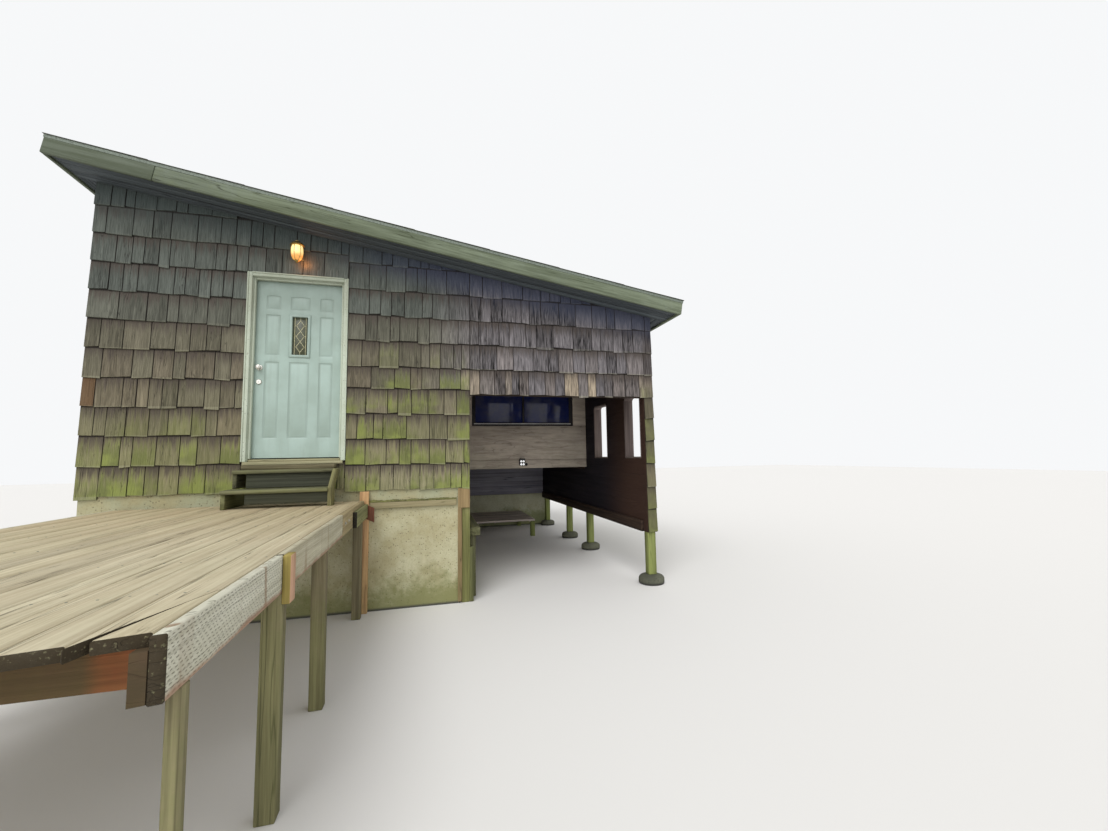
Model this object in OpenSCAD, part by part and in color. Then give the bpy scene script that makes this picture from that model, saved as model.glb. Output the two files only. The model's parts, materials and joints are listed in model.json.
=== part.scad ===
// Boathouse with a room on the left and an open boat slip on the right, under one single-pitch roof.
// +X runs along the front wall towards the water side, +Y into the building and +Z up.
// The origin is under the middle of the front foundation, at the level of the water.

/* [Building] */
// Width over the shingles
building_w = 6330; // [5800:10:7000]
// Depth over the shingles
building_d = 5990; // [5400:10:6800]
// Height of the room floor above the water
floor_z = 1690; // [1500:5:1900]
// Height of the wall framing at the high corner above the water
high_wall_z = 4650; // [4400:5:4900]
// Slope of the roof in degrees
roof_angle = 9.6; // [6:0.1:11]
// Thickness of the framed walls without shingles
wall_t = 110; // [90:5:150]
// Thickness of the shingles at their butts
shingle_t = 30; // [20:1:40]
// Height of one course of shingles
shingle_course = 303; // [250:1:350]

/* [Foundation] */
// Thickness of the concrete walls
foundation_t = 150; // [120:5:200]
// How far the shingles hang over the concrete
shingle_drop = 150; // [80:5:200]
// Height of the concrete across the back of the slip
slip_curb_z = 765; // [600:5:900]
// Height of the rail on the front of the concrete
ledger_h = 60; // [40:2:120]
// Width of the timber posts at the front of the concrete
corner_post_w = 110; // [90:2:140]

/* [Slip] */
// Width of the boat slip between its walls
slip_w = 2330; // [2000:10:2600]
// Height of the underside of the front wall over the slip
slip_head_z = 2466; // [2350:2:2600]
// Distance from the front foundation to the raised plywood wall
back_wall_y = 2335; // [2100:5:2600]
// Height of the underside of the water-side wall
water_wall_z = 665; // [500:5:800]
// Height of the round piers above the water
pier_h = 120; // [80:5:200]
// Diameter of the round piers
pier_d = 335; // [300:5:400]
// Distance from the front foundation to the second pier
second_pier_y = 2375; // [2200:5:2600]
// Distance from the front foundation to the third pier
third_pier_y = 3655; // [3400:5:3900]
// Height of the walking surface at the rear of the slip
landing_z = 360; // [250:5:450]
// Width of the ledge along the room side of the slip
ledge_w = 140; // [100:5:180]

/* [Windows] */
// Width of the slider window in the plywood wall
window_w = 1840; // [1500:10:1900]
// Height of the slider window
window_h = 1050; // [800:10:1050]
// Height of its sill above the water
window_z = 2238; // [2150:2:2300]
// Height of the openings in the water-side wall
opening_h = 900; // [700:10:950]
// Sill height of the openings above the water
opening_z = 1645; // [1500:5:1700]
// Size of the slanted corners at the top of those openings
opening_clip = 50; // [20:2:80]

/* [Door] */
// Width of the door leaf
door_w = 912; // [760:2:960]
// Height of the door leaf
door_h = 2012; // [1900:2:2060]
// Thickness of the door leaf
door_t = 44; // [35:1:50]
// Centre of the door, left of the middle of the front
door_x = -1215; // [-1400:5:-1050]
// Clearance between the leaf and its frame
door_gap = 6; // [5:0.5:8]
// Width of the glass in the door
door_glass_w = 160; // [120:2:220]
// Height of the glass in the door
door_glass_h = 440; // [300:5:500]
// Height of the glass panel above the foot of the leaf
door_glass_z = 1150; // [1120:5:1170]
// Height of the knob above the room floor
knob_h = 1045; // [950:5:1080]
// Height of the lock above the room floor
lock_h = 885; // [800:5:900]

/* [Lights] */
// Height of the porch lamp's foot above the room floor
lamp_h = 2217; // [2150:1:2240]
// Height of the porch lamp's glass body
lamp_body_h = 200; // [150:5:220]

/* [Roof] */
// Overhang of the roof at the front and the rear
roof_over_y = 400; // [250:10:500]
// Overhang of the roof at the high side
roof_over_high = 200; // [120:10:300]
// Overhang of the roof at the low side
roof_over_low = 240; // [120:10:300]
// Height of the rafters
rafter_h = 140; // [120:5:190]
// Distance between rafters
rafter_step = 610; // [400:5:800]
// Height of the fascia boards
fascia_h = 184; // [160:2:240]

/* [Deck] */
// Width of the deck in front of the door
deck_w = 2355; // [1800:10:2600]
// Length of the deck at its longer, right-hand side
deck_l = 4084; // [3000:2:4500]
// Height of the deck surface above the water
deck_z = 1235; // [1100:5:1300]
// Distance of the deck's right-hand side from the middle of the front
deck_right = -480; // [-560:5:-440]
// Angle by which the near end of the deck is cut
deck_skew = 12; // [0:1:25]
// How far the boards reach beyond the last joist at the right-hand side
deck_overhang = 130; // [90:5:200]
// Thickness of the deck boards
deck_board_t = 38; // [25:1:45]
// Height of the deck joists
deck_joist_h = 140; // [90:5:150]

/* [Steps] */
// Length of the treads at the door
tread_l = 940; // [800:5:1000]
// Depth of the treads
tread_d = 270; // [240:5:300]
// Thickness of the treads
tread_t = 38; // [25:1:45]
// Height of the lower tread above the deck
lower_tread_h = 185; // [150:5:200]
// Height of the upper tread above the deck
upper_tread_h = 371; // [350:1:380]

/* [Hidden] */

// Planes of the walls: "out" is the outer face of the framing, "in" its inner face
front_out = -foundation_t / 2;
front_in = front_out + wall_t;
front_face = front_out - shingle_t;
rear_out = front_face + building_d - shingle_t;
rear_in = rear_out - wall_t;
left_out = -building_w / 2 + shingle_t;
left_in = left_out + wall_t;
water_out = building_w / 2 - shingle_t;
water_in = water_out - wall_t;
slip_left = water_in - slip_w;
side_wall_x = slip_left - wall_t;

// Levels
subfloor_t = 18;
joist_w = 38;
joist_h = 184;
foundation_top = floor_z - subfloor_t - joist_h;
shingle_z = foundation_top - shingle_drop;

// Roof: the rafters lie on the sloping tops of the walls
roof_deck_t = 15;
roofing_t = 12;
fascia_t = 38;
roof_slope = tan(roof_angle);
function wall_top(x) = high_wall_z - (x - left_out) * roof_slope;

// Door: leaf inside its frame, hinged on the right and opening inwards
jamb_t = 30;
casing_w = 48;
casing_t = 37;
sill_h = 35;
leaf_rise = 38;
jamb_slack = 2;
door_bottom = floor_z + leaf_rise;
door_top = door_bottom + door_h;
door_in = front_in;
door_out = door_in - door_t;
jamb_x = door_w / 2 + door_gap + jamb_slack;
frame_x = jamb_x + jamb_t;
frame_top = door_top + door_gap + jamb_t;
casing_reveal = 6;
casing_x = jamb_x + casing_reveal + casing_w;
casing_top = frame_top - jamb_t + casing_reveal + casing_w;
hinge_r = 6;
hinge_clear = 1;
hinge_x = door_x + door_w / 2 + door_gap / 2;
hinge_y = door_in + hinge_r + hinge_clear;

// A wall with a sloping top, between two planes in X and two in Y
module wall(x0, x1, y0, y1, z0, lift = 0) {
  translate([0, y1, 0])
    rotate([90, 0, 0])
      linear_extrude(height = y1 - y0)
        polygon([[x0, z0], [x1, z0], [x1, wall_top(x1) + lift], [x0, wall_top(x0) + lift]]);
}

// A plain board or slab between two corners. What cuts reaches 1 past the faces it opens.
module board(low, high) {
  translate(low)
    cube(high - low);
}

// Places its children on the tops of the walls, with X down the slope and Z square to the roof
module on_roof() {
  translate([left_out, 0, high_wall_z])
    rotate([0, roof_angle, 0])
      children();
}

// Foundation
module concrete() {
  color("gainsboro")
    children();
}

module foundation_front() {
  concrete()
    board([left_out, front_out, 0], [slip_left - corner_post_w, front_out + foundation_t, foundation_top]);
}

module foundation_left() {
  concrete()
    board([left_out, front_out + foundation_t, 0],
          [left_out + foundation_t, rear_out - foundation_t, foundation_top]);
}

module foundation_rear() {
  concrete() {
    board([left_out, rear_out - foundation_t, 0], [slip_left, rear_out, foundation_top]);
    board([slip_left, rear_out - foundation_t, 0], [water_out, rear_out, slip_curb_z]);
  }
}

module foundation_slip() {
  concrete()
    board([slip_left - foundation_t, front_out + foundation_t, 0],
          [slip_left, rear_out - foundation_t, foundation_top]);
}

ledger_t = 38;
ledger_drop = 200;
ledger_short = 30;
ledger_z = shingle_z - ledger_drop;
end_post_w = 100;
end_post_d = 70;
end_post_clear = 5;
end_post_x = deck_right - end_post_w / 2;
foot_w = 45;
foot_h = 630;
module foundation_timbers() {
  color("peru") {
    board([slip_left - corner_post_w, front_out, 0], [slip_left, front_out + foundation_t, foundation_top]);
    board([slip_left, front_out, 0], [slip_left + foot_w, front_out + corner_post_w, foot_h]);
    board([end_post_x, front_out - end_post_d, 0],
          [end_post_x + end_post_w, front_out, shingle_z - end_post_clear]);
    board([end_post_x + end_post_w, front_out - ledger_t, ledger_z],
          [slip_left - corner_post_w - ledger_short, front_out, ledger_z + ledger_h]);
  }
}

// Floors
module room_floor() {
  color("tan")
    board([left_in, front_in, floor_z - subfloor_t], [side_wall_x, rear_in, floor_z]);
}

module slip_floor() {
  color("tan")
    board([side_wall_x, back_wall_y + wall_t, floor_z - subfloor_t], [water_in, rear_in, floor_z]);
}

joist_step = 406;
bearing_gap = 2;
module joists(x0, x1, y0, y1) {
  span = y1 - y0 - joist_w;
  count = ceil(span / joist_step);
  for (i = [0 : count])
    board([x0, y0 + i * span / count, foundation_top],
          [x1, y0 + i * span / count + joist_w, floor_z - subfloor_t]);
}

module floor_joists() {
  color("tan") {
    joists(left_in, side_wall_x - bearing_gap, front_in, rear_in);
    joists(side_wall_x, water_in - joist_w, back_wall_y + wall_t, rear_in);
  }
}

// Walls
module siding_color() {
  color("saddlebrown")
    children();
}

module front_wall_left() {
  siding_color()
    wall(left_out, door_x - frame_x, front_out, front_in, foundation_top);
}

module front_wall_at_door() {
  siding_color() {
    wall(door_x - frame_x, door_x + frame_x, front_out, front_in, frame_top);
    board([door_x - frame_x, front_out, foundation_top], [door_x + frame_x, front_in, floor_z - sill_h]);
  }
}

module front_wall_middle() {
  siding_color()
    wall(door_x + frame_x, slip_left, front_out, front_in, foundation_top);
}

module front_wall_over_slip() {
  siding_color()
    wall(slip_left, water_in, front_out, front_in, slip_head_z);
}

module left_wall() {
  siding_color()
    wall(left_out, left_in, front_in, rear_in, foundation_top);
}

module rear_wall() {
  siding_color() {
    wall(left_out, slip_left, rear_in, rear_out, foundation_top);
    wall(slip_left, water_in, rear_in, rear_out, slip_curb_z);
  }
}

module slip_side_wall() {
  siding_color()
    wall(side_wall_x, slip_left, front_in, back_wall_y + wall_t, foundation_top);
}

// Near and far edges of the two openings in the water-side wall
first_opening_y = front_in + 10;
first_opening_w = 540;
second_opening_y = front_in + 1240;
second_opening_w = 610;
openings = [[first_opening_y, first_opening_y + first_opening_w],
            [second_opening_y, second_opening_y + second_opening_w]];
module water_openings(x0, x1) {
  top = opening_z + opening_h;
  for (side = openings)
    translate([x0, 0, 0])
      rotate([90, 0, 90])
        linear_extrude(height = x1 - x0)
          polygon([[side[0], opening_z], [side[1], opening_z], [side[1], top - opening_clip],
                   [side[1] - opening_clip, top], [side[0] + opening_clip, top],
                   [side[0], top - opening_clip]]);
}

module water_wall() {
  siding_color()
    difference() {
      wall(water_in, water_out, front_out, rear_out, water_wall_z);
      water_openings(water_in - 1, water_out + 1);
      board([water_in - 1, rear_out - foundation_t, 0], [water_out + 1, rear_out + 1, slip_curb_z]);
    }
}

rail_h = 140;
rail_t = 38;
module water_wall_rails() {
  color("sienna") {
    board([water_in - rail_t, front_in, water_wall_z],
          [water_in, rear_out - foundation_t, water_wall_z + rail_h]);
    board([water_in - joist_w, back_wall_y + wall_t, foundation_top - joist_w],
          [water_in, rear_in, floor_z - subfloor_t]);
  }
}

// Raised plywood wall with its slider window
window_x = slip_left + slip_w / 2;
module slip_back_wall() {
  color("rosybrown")
    difference() {
      wall(slip_left, water_in, back_wall_y, back_wall_y + wall_t, foundation_top);
      board([window_x - window_w / 2, back_wall_y - 1, window_z],
            [window_x + window_w / 2, back_wall_y + wall_t + 1, window_z + window_h]);
    }
}

window_bar = 40;
window_set_back = 20;
window_y = back_wall_y + window_set_back;
window_t = 60;
pane_w = (window_w - 3 * window_bar) / 2;
module panes(y0, y1) {
  for (side = [-1, 1])
    translate([window_x + side * (pane_w + window_bar) / 2 - pane_w / 2, y0, window_z + window_bar])
      cube([pane_w, y1 - y0, window_h - 2 * window_bar]);
}

module slip_window_frame() {
  color("dimgray")
    difference() {
      board([window_x - window_w / 2, window_y, window_z],
            [window_x + window_w / 2, window_y + window_t, window_z + window_h]);
      panes(window_y - 1, window_y + window_t + 1);
    }
}

glass_t = 6;
module slip_window_glass() {
  color("lightsteelblue", 0.5)
    panes(window_y + (window_t - glass_t) / 2, window_y + (window_t + glass_t) / 2);
}

// Shingles: courses that are thick at the butt and thin at the top
shingle_top_t = 8;
// One side of the building clad from z0 up, drawn in the plane of its courses
module courses(z0, top) {
  count = ceil((top - z0) / shingle_course);
  polygon(concat(
    [[0, z0 + count * shingle_course], [0, z0]],
    [for (i = [0 : count - 1], edge = [0, 1])
      edge == 0 ? [shingle_t, z0 + i * shingle_course] : [shingle_top_t, z0 + (i + 1) * shingle_course]]
  ));
}

// Courses along X, facing -Y, from x0 to x1 and cut off at the roof
module courses_x(x0, x1, z0) {
  intersection() {
    translate([x0, front_out, 0])
      rotate([90, 0, 90])
        linear_extrude(height = x1 - x0)
          mirror([1, 0])
            courses(z0, high_wall_z);
    wall(x0 - 1, x1 + 1, front_face - 1, front_out + 1, 0);
  }
}

module shingle_color() {
  color("sienna")
    children();
}

module front_shingles() {
  shingle_color()
    difference() {
      union() {
        courses_x(left_out, slip_left, shingle_z);
        courses_x(slip_left, water_in, slip_head_z);
        courses_x(water_in, water_out, water_wall_z);
      }
      board([door_x - casing_x, front_face - 1, floor_z - sill_h],
            [door_x + casing_x, front_out + 1, casing_top]);
      lamp_block(1);
    }
}

module rear_shingles() {
  shingle_color()
    translate([0, rear_out + front_out, 0])
      mirror([0, 1, 0]) {
        courses_x(left_out, slip_left, shingle_z);
        courses_x(slip_left, water_out, slip_curb_z);
      }
}

// Courses along Y, facing -X at the high side or +X at the water side
module courses_y(x, facing, z0) {
  intersection() {
    translate([x, rear_out + shingle_t, 0])
      rotate([90, 0, 0])
        linear_extrude(height = rear_out - front_out + 2 * shingle_t)
          scale([facing, 1])
            courses(z0, high_wall_z);
    wall(x - shingle_t - 1, x + shingle_t + 1, front_face - 1, rear_out + shingle_t + 1, 0);
  }
}

module side_shingles() {
  shingle_color() {
    courses_y(left_out, -1, shingle_z);
    difference() {
      courses_y(water_out, 1, water_wall_z);
      water_openings(water_out - 1, water_out + shingle_t + 1);
    }
  }
}

// Roof
roof_x0 = left_out - shingle_t - roof_over_high + fascia_t;
roof_x1 = water_out + shingle_t + roof_over_low - fascia_t;
roof_y0 = front_face - roof_over_y + fascia_t;
roof_y1 = rear_out + shingle_t + roof_over_y - fascia_t;
roof_s0 = (roof_x0 - left_out) / cos(roof_angle);
roof_s1 = (roof_x1 - left_out) / cos(roof_angle);

module rafters() {
  span = rear_out - front_out - joist_w;
  count = ceil(span / rafter_step);
  color("tan")
    on_roof()
      for (i = [0 : count])
        translate([roof_s0, front_out + i * span / count, 0])
          cube([roof_s1 - roof_s0, joist_w, rafter_h]);
}

module roof_deck() {
  color("tan")
    on_roof()
      board([roof_s0, roof_y0, rafter_h], [roof_s1, roof_y1, rafter_h + roof_deck_t]);
}

roofing_z = rafter_h + roof_deck_t;
drip = fascia_t + 15;
module roofing() {
  color("dimgray")
    on_roof()
      board([roof_s0 - drip, roof_y0 - drip, roofing_z],
            [roof_s1 + drip, roof_y1 + drip, roofing_z + roofing_t]);
}

module fascia() {
  color("darkseagreen")
    on_roof()
      difference() {
        board([roof_s0 - fascia_t, roof_y0 - fascia_t, roofing_z - fascia_h],
              [roof_s1 + fascia_t, roof_y1 + fascia_t, roofing_z]);
        board([roof_s0, roof_y0, roofing_z - fascia_h - 1], [roof_s1, roof_y1, roofing_z + 1]);
      }
}

soffit_t = 10;
soffit_gap = 3;
module soffit() {
  color("darkslategray")
    on_roof()
      difference() {
        board([roof_s0, roof_y0, -soffit_t], [roof_s1, roof_y1, 0]);
        board([-shingle_t / cos(roof_angle) - soffit_gap, front_face, -soffit_t - 1],
              [(building_w - shingle_t) / cos(roof_angle) + soffit_gap, rear_out + shingle_t, 1]);
      }
}

// Door
stop_w = 20;
stop_back = 10;
threshold_h = 30;
sill_nose = 25;
module door_frame() {
  color("ivory") {
    difference() {
      board([door_x - frame_x, front_out, floor_z], [door_x + frame_x, front_in, frame_top]);
      board([door_x - jamb_x, front_out - 1, floor_z - 1],
            [door_x + jamb_x, front_in + 1, frame_top - jamb_t]);
    }
    difference() {
      board([door_x - casing_x, front_out - casing_t, floor_z], [door_x + casing_x, front_out, casing_top]);
      board([door_x - casing_x + casing_w, front_out - casing_t - 1, floor_z - 1],
            [door_x + casing_x - casing_w, front_out + 1, casing_top - casing_w]);
    }
    difference() {
      board([door_x - jamb_x, front_out + stop_back, floor_z + threshold_h],
            [door_x + jamb_x, door_out - door_gap, frame_top - jamb_t]);
      board([door_x - jamb_x + stop_w, front_out, floor_z],
            [door_x + jamb_x - stop_w, door_out, frame_top - jamb_t - stop_w]);
    }
  }
}

module door_sill() {
  color("tan") {
    board([door_x - frame_x, front_face - sill_nose, floor_z - sill_h],
          [door_x + frame_x, front_in, floor_z]);
    board([door_x - jamb_x, front_out + stop_back, floor_z],
          [door_x + jamb_x, front_in, floor_z + threshold_h]);
  }
}

// The frame around the glass laps over it by one lip and over the leaf by another
light_lip = 15;
light_proud = 12;
light_z = door_bottom + door_glass_z;
module around_glass(lips, reach) {
  half = door_glass_w / 2 + lips * light_lip;
  board([door_x - half, door_out - reach, light_z + (1 - lips) * light_lip],
        [door_x + half, door_in + reach, light_z + door_glass_h + (1 + lips) * light_lip]);
}

// Pressed panels of the leaf: centre offset and width, then bottom above the leaf's foot and height
panel_cols = [[-276, 150], [0, 210], [276, 150]];
panel_rows = [[215, 865], [door_glass_z, door_glass_h + 2 * light_lip], [1680, 155]];
module panel_groove(x, w, z, h) {
  groove = 22;
  depth = 6;
  for (side = [0, 1])
    translate([door_x + x, side == 0 ? door_out : door_in, door_bottom + z])
      difference() {
        translate([-w / 2, -depth, 0])
          cube([w, 2 * depth, h]);
        translate([-w / 2 + groove, -depth - 1, groove])
          cube([w - 2 * groove, 2 * depth + 2, h - 2 * groove]);
      }
}

module door_leaf() {
  color("lightblue")
    difference() {
      board([door_x - door_w / 2, door_out, door_bottom], [door_x + door_w / 2, door_in, door_top]);
      for (col = panel_cols, row = panel_rows)
        if (col[0] != 0 || row[0] != door_glass_z)
          panel_groove(col[0], col[1], row[0], row[1]);
      around_glass(1, 1);
    }
}

module door_light() {
  color("lightblue")
    difference() {
      around_glass(2, light_proud);
      around_glass(0, light_proud + 1);
      difference() {
        around_glass(3, 0);
        around_glass(1, 1);
      }
    }
}

door_pane_t = 16;
module door_glass() {
  color("lightsteelblue", 0.5)
    around_glass(0, (door_pane_t - door_t) / 2);
}

backset = 60;
knob_x = door_x - door_w / 2 + backset;
knob_z = floor_z + knob_h;
lock_z = floor_z + lock_h;
knob_reach = 64;
// Rose, neck and ball of the knob as parts of its reach
module knob() {
  rotate_extrude($fn = 32)
    polygon(knob_reach * [[0, 0], [0.5, 0], [0.5, 0.1], [0.2, 0.16], [0.17, 0.4], [0.31, 0.53],
                          [0.42, 0.72], [0.38, 0.9], [0.19, 0.98], [0, 1]]);
}

// Butt hinges: five knuckles on one pin, three on the frame and two on the leaf
hinge_from_end = 200;
hinge_levels = [door_bottom + hinge_from_end, door_bottom + door_h / 2, door_top - hinge_from_end];
knuckle = 19;
hinge_plate_t = 2.4;
hinge_l = 98;
hinge_plate_w = 33;
knuckle_gap = 0.6;
module knuckles(first, count, plate_x) {
  for (level = hinge_levels, i = [0 : count - 1]) {
    z = level + (first + 2 * i - 2.5) * (knuckle + knuckle_gap);
    translate([hinge_x, hinge_y, z])
      cylinder(r = hinge_r, h = knuckle, $fn = 24);
    board([plate_x, door_in, z], [plate_x + hinge_plate_t, hinge_y, z + knuckle]);
  }
  for (level = hinge_levels)
    board([plate_x, door_in - hinge_plate_w, level - hinge_l / 2],
          [plate_x + hinge_plate_t, door_in, level + hinge_l / 2]);
}

module door_hinges() {
  color("silver")
    knuckles(0, 3, door_x + jamb_x - hinge_plate_t);
}

// Places its children on both faces of the leaf, with Z pointing away from it
module both_faces(z) {
  for (side = [-1, 1])
    translate([knob_x, side < 0 ? door_out : door_in, z])
      rotate([-side * 90, 0, 0])
        children();
}

lock_r = 29;
lock_front_r = 25;
lock_t = 14;
module door_hardware() {
  color("silver") {
    both_faces(knob_z)
      knob();
    both_faces(lock_z)
      cylinder(r1 = lock_r, r2 = lock_front_r, h = lock_t, $fn = 32);
    knuckles(1, 2, door_x + door_w / 2);
  }
}

// Lights
lamp_z = floor_z + lamp_h;
lamp_x = door_x - 10;
lamp_stand = 85;
lamp_foot_r = 40;
lamp_top_r = 70;
cap_r = 78;
cap_tip_r = 20;
cap_h = 55;
arm_w = 20;
arm_drop = 50;
lamp_block_w = 90;
lamp_block_h = 150;
lamp_block_z = lamp_z + 60;
lamp_block_proud = 12;
// The block behind the lamp is let into the shingles
module lamp_block(deeper) {
  board([lamp_x - lamp_block_w / 2, front_face - lamp_block_proud, lamp_block_z],
        [lamp_x + lamp_block_w / 2, front_out + deeper, lamp_block_z + lamp_block_h]);
}

module porch_lamp() {
  cylinder(r1 = lamp_foot_r, r2 = lamp_top_r, h = lamp_body_h, $fn = 6);
  translate([0, 0, lamp_body_h])
    cylinder(r1 = cap_r, r2 = cap_tip_r, h = cap_h, $fn = 6);
  board([-arm_w / 2, 0, lamp_body_h - arm_drop],
        [arm_w / 2, lamp_stand - lamp_block_proud / 2, lamp_body_h - arm_drop + arm_w]);
}

slip_lamp_x = window_x - 45;
slip_lamp_z = floor_z - 110;
slip_plate_r = 45;
slip_plate_t = 12;
bulb_r = 32;
bulb_side = 50;
bulb_y = 60;
bulb_up = 10;
bar_t = 16;
module slip_lamp() {
  rotate([90, 0, 0])
    cylinder(r = slip_plate_r, h = slip_plate_t, $fn = 32);
  for (side = [-1, 1])
    translate([side * bulb_side, -bulb_y, bulb_up])
      sphere(r = bulb_r, $fn = 24);
  board([-bulb_side, -bulb_side, -bar_t / 2], [bulb_side, -slip_plate_t / 2, bar_t / 2]);
}

module wall_lamps() {
  color("dimgray") {
    lamp_block(0);
    translate([lamp_x, front_face - lamp_stand, lamp_z])
      porch_lamp();
  }
  color("white")
    translate([slip_lamp_x, back_wall_y, slip_lamp_z])
      slip_lamp();
}

// Steps at the door: two treads with a board on the upper one, between a wide and a narrow stringer.
// The risers begin some way from the left end, and the lower one ends above the deck.
tread_levels = [deck_z + lower_tread_h, deck_z + upper_tread_h];
steps_x = door_x - 25;
steps_left = steps_x - tread_l / 2;
steps_right = steps_x + tread_l / 2;
stringer_t = 38;
riser_t = 18;
riser_set_back = 60;
riser_starts = [190, 110];
riser_feet = [deck_z + 45, tread_levels[0]];
top_board_start = 50;
top_board_set_back = 80;
stringer_nose = 25;
// A stringer with a sloping front edge, drawn from the side and reaching up to the levels of the treads
module stringer(x, drop) {
  translate([x, 0, 0])
    rotate([90, 0, 90])
      linear_extrude(height = stringer_t)
        polygon([[front_face, deck_z], [front_face, tread_levels[1] - drop],
                 [front_face - tread_d + drop / 2, tread_levels[1] - drop],
                 [front_face - 2 * tread_d + stringer_nose, tread_levels[0] - drop],
                 [front_face - 2 * tread_d + stringer_nose, deck_z]]);
}

module door_steps() {
  color("olivedrab") {
    for (i = [0, 1]) {
      y = front_face - (2 - i) * tread_d;
      board([steps_left, y, tread_levels[i] - tread_t], [steps_right, y + tread_d, tread_levels[i]]);
      board([steps_left + riser_starts[i], y + riser_set_back, riser_feet[i]],
            [steps_right, y + riser_set_back + riser_t, tread_levels[i] - tread_t]);
    }
    board([steps_left + top_board_start, front_face - tread_d + top_board_set_back, tread_levels[1]],
          [steps_right, front_face, floor_z - sill_h]);
    stringer(steps_right, 0);
    stringer(steps_left, tread_t);
  }
}

// Posts and piers under the water-side wall
pier_x = (water_in + water_out) / 2;
pier_gap = 10;
pier_y = [front_out + wall_t / 2, second_pier_y, third_pier_y,
          rear_out - foundation_t - pier_d / 2 - pier_gap];
module slip_posts() {
  color("olivedrab") {
    for (y = pier_y)
      board([pier_x - wall_t / 2, y - wall_t / 2, pier_h],
            [pier_x + wall_t / 2, y + wall_t / 2, water_wall_z]);
    for (x = [slip_left, slip_left + landing_w - landing_post],
         y = [landing_y, landing_y + landing_l - landing_post])
      board([x, y, 0], [x + landing_post, y + landing_post, landing_z - landing_t]);
  }
}

// Worn edges of a pier, as steps in from its side and up from the water or down from its top
pier_foot = [8, 20];
pier_edge = [[0, 50], [20, 22], [60, 6]];
pier_flat = 25;
module slip_piers() {
  color("gray")
    for (y = pier_y)
      translate([pier_x, y, 0])
        rotate_extrude($fn = 40)
          polygon(concat([[0, 0], [pier_d / 2 - pier_foot[0], 0], [pier_d / 2, pier_foot[1]]],
                         [for (worn = pier_edge) [pier_d / 2 - worn[0], pier_h - worn[1]]],
                         [[wall_t / 2 + pier_flat, pier_h], [0, pier_h]]));
}

// Landing at the rear of the slip and the ledge along the room side
landing_l = 1650;
landing_w = 1730;
landing_t = 50;
landing_post = 90;
landing_y = rear_out - foundation_t - landing_l;
module landing_boards() {
  color("dimgray")
    board([slip_left, landing_y, landing_z - landing_t],
          [slip_left + landing_w, landing_y + landing_l, landing_z]);
}

ledge_h = 100;
ledge_z = 740;
fender_w = 90;
fender_step = 1100;
first_fender_y = front_out + foundation_t + 60;
last_fender_y = landing_y - 200;
module mooring_ledge() {
  color("olivedrab") {
    board([slip_left, front_out + foundation_t, ledge_z],
          [slip_left + ledge_w, rear_out - foundation_t, ledge_z + ledge_h]);
    for (y = [first_fender_y : fender_step : last_fender_y])
      board([slip_left, y, 0], [slip_left + fender_w, y + fender_w, ledge_z]);
  }
}

// Deck: boards in depth, joists across, rims at both sides
rim_t = 38;
rim_h = 184;
deck_house_gap = 45;
deck_far = front_face - deck_house_gap;
deck_left = deck_right - deck_w;
deck_post = 89;
function deck_near(x) = deck_far - deck_l - (deck_right - x) * tan(deck_skew);

// A strip of the deck along one side, from x0 to x1 and between the near end and the far one
module deck_strip(x0, x1) {
  polygon([[x0, deck_far], [x1, deck_far], [x1, deck_near(x1)], [x0, deck_near(x0)]]);
}

module deck_boards() {
  color("tan")
    translate([0, 0, deck_z - deck_board_t])
      linear_extrude(height = deck_board_t)
        deck_strip(deck_left + rim_t, deck_right - rim_t);
}

// The rims stand outside the boards. The right-hand one has an upright block on its outside and,
// at its far end, a second board that ends under the level of the boards.
sister_l = 818;
sister_h = 150;
block_from = 3030;
block_h = 235;
module deck_rim() {
  color("lightgray") {
    translate([0, 0, deck_z - rim_h])
      linear_extrude(height = rim_h) {
        deck_strip(deck_left, deck_left + rim_t);
        deck_strip(deck_right - rim_t, deck_right);
      }
    board([deck_right, deck_far - sister_l, deck_z - deck_board_t - sister_h],
          [deck_right + rim_t, deck_far, deck_z - deck_board_t]);
    board([deck_right, deck_far - block_from, deck_z - block_h],
          [deck_right + rim_t, deck_far - block_from + deck_post, deck_z]);
  }
}

deck_joist_step = 600;
joist_z = deck_z - deck_board_t - deck_joist_h;
joist_x0 = deck_left + rim_t + joist_w;
joist_x1 = deck_right - rim_t - joist_w;
near_joist_y = deck_near(joist_x1) + deck_overhang;
// The skewed corner beyond the last full joist is carried by a short joist and a trimmer
short_joist_at = 0.65;
short_joist_y = near_joist_y - (near_joist_y - deck_near(joist_x0) - deck_overhang) * short_joist_at;
trimmer_x = deck_right - (deck_far - deck_l - short_joist_y + deck_overhang) / max(tan(deck_skew), 0.01);

module deck_joists() {
  count = floor((deck_far - near_joist_y - 2 * joist_w) / deck_joist_step);
  color("sienna")
    translate([0, 0, joist_z])
      linear_extrude(height = deck_joist_h) {
        deck_strip(deck_left + rim_t, joist_x0);
        deck_strip(joist_x1, deck_right - rim_t);
        for (y = concat([near_joist_y], [for (i = [0 : count]) deck_far - joist_w - i * deck_joist_step]))
          translate([joist_x0, y])
            square([joist_x1 - joist_x0, joist_w]);
        if (trimmer_x > joist_x0 + joist_w) {
          translate([joist_x0, short_joist_y])
            square([trimmer_x - joist_x0, joist_w]);
          translate([trimmer_x, short_joist_y])
            square([joist_w, near_joist_y - short_joist_y]);
        }
      }
}

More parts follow.
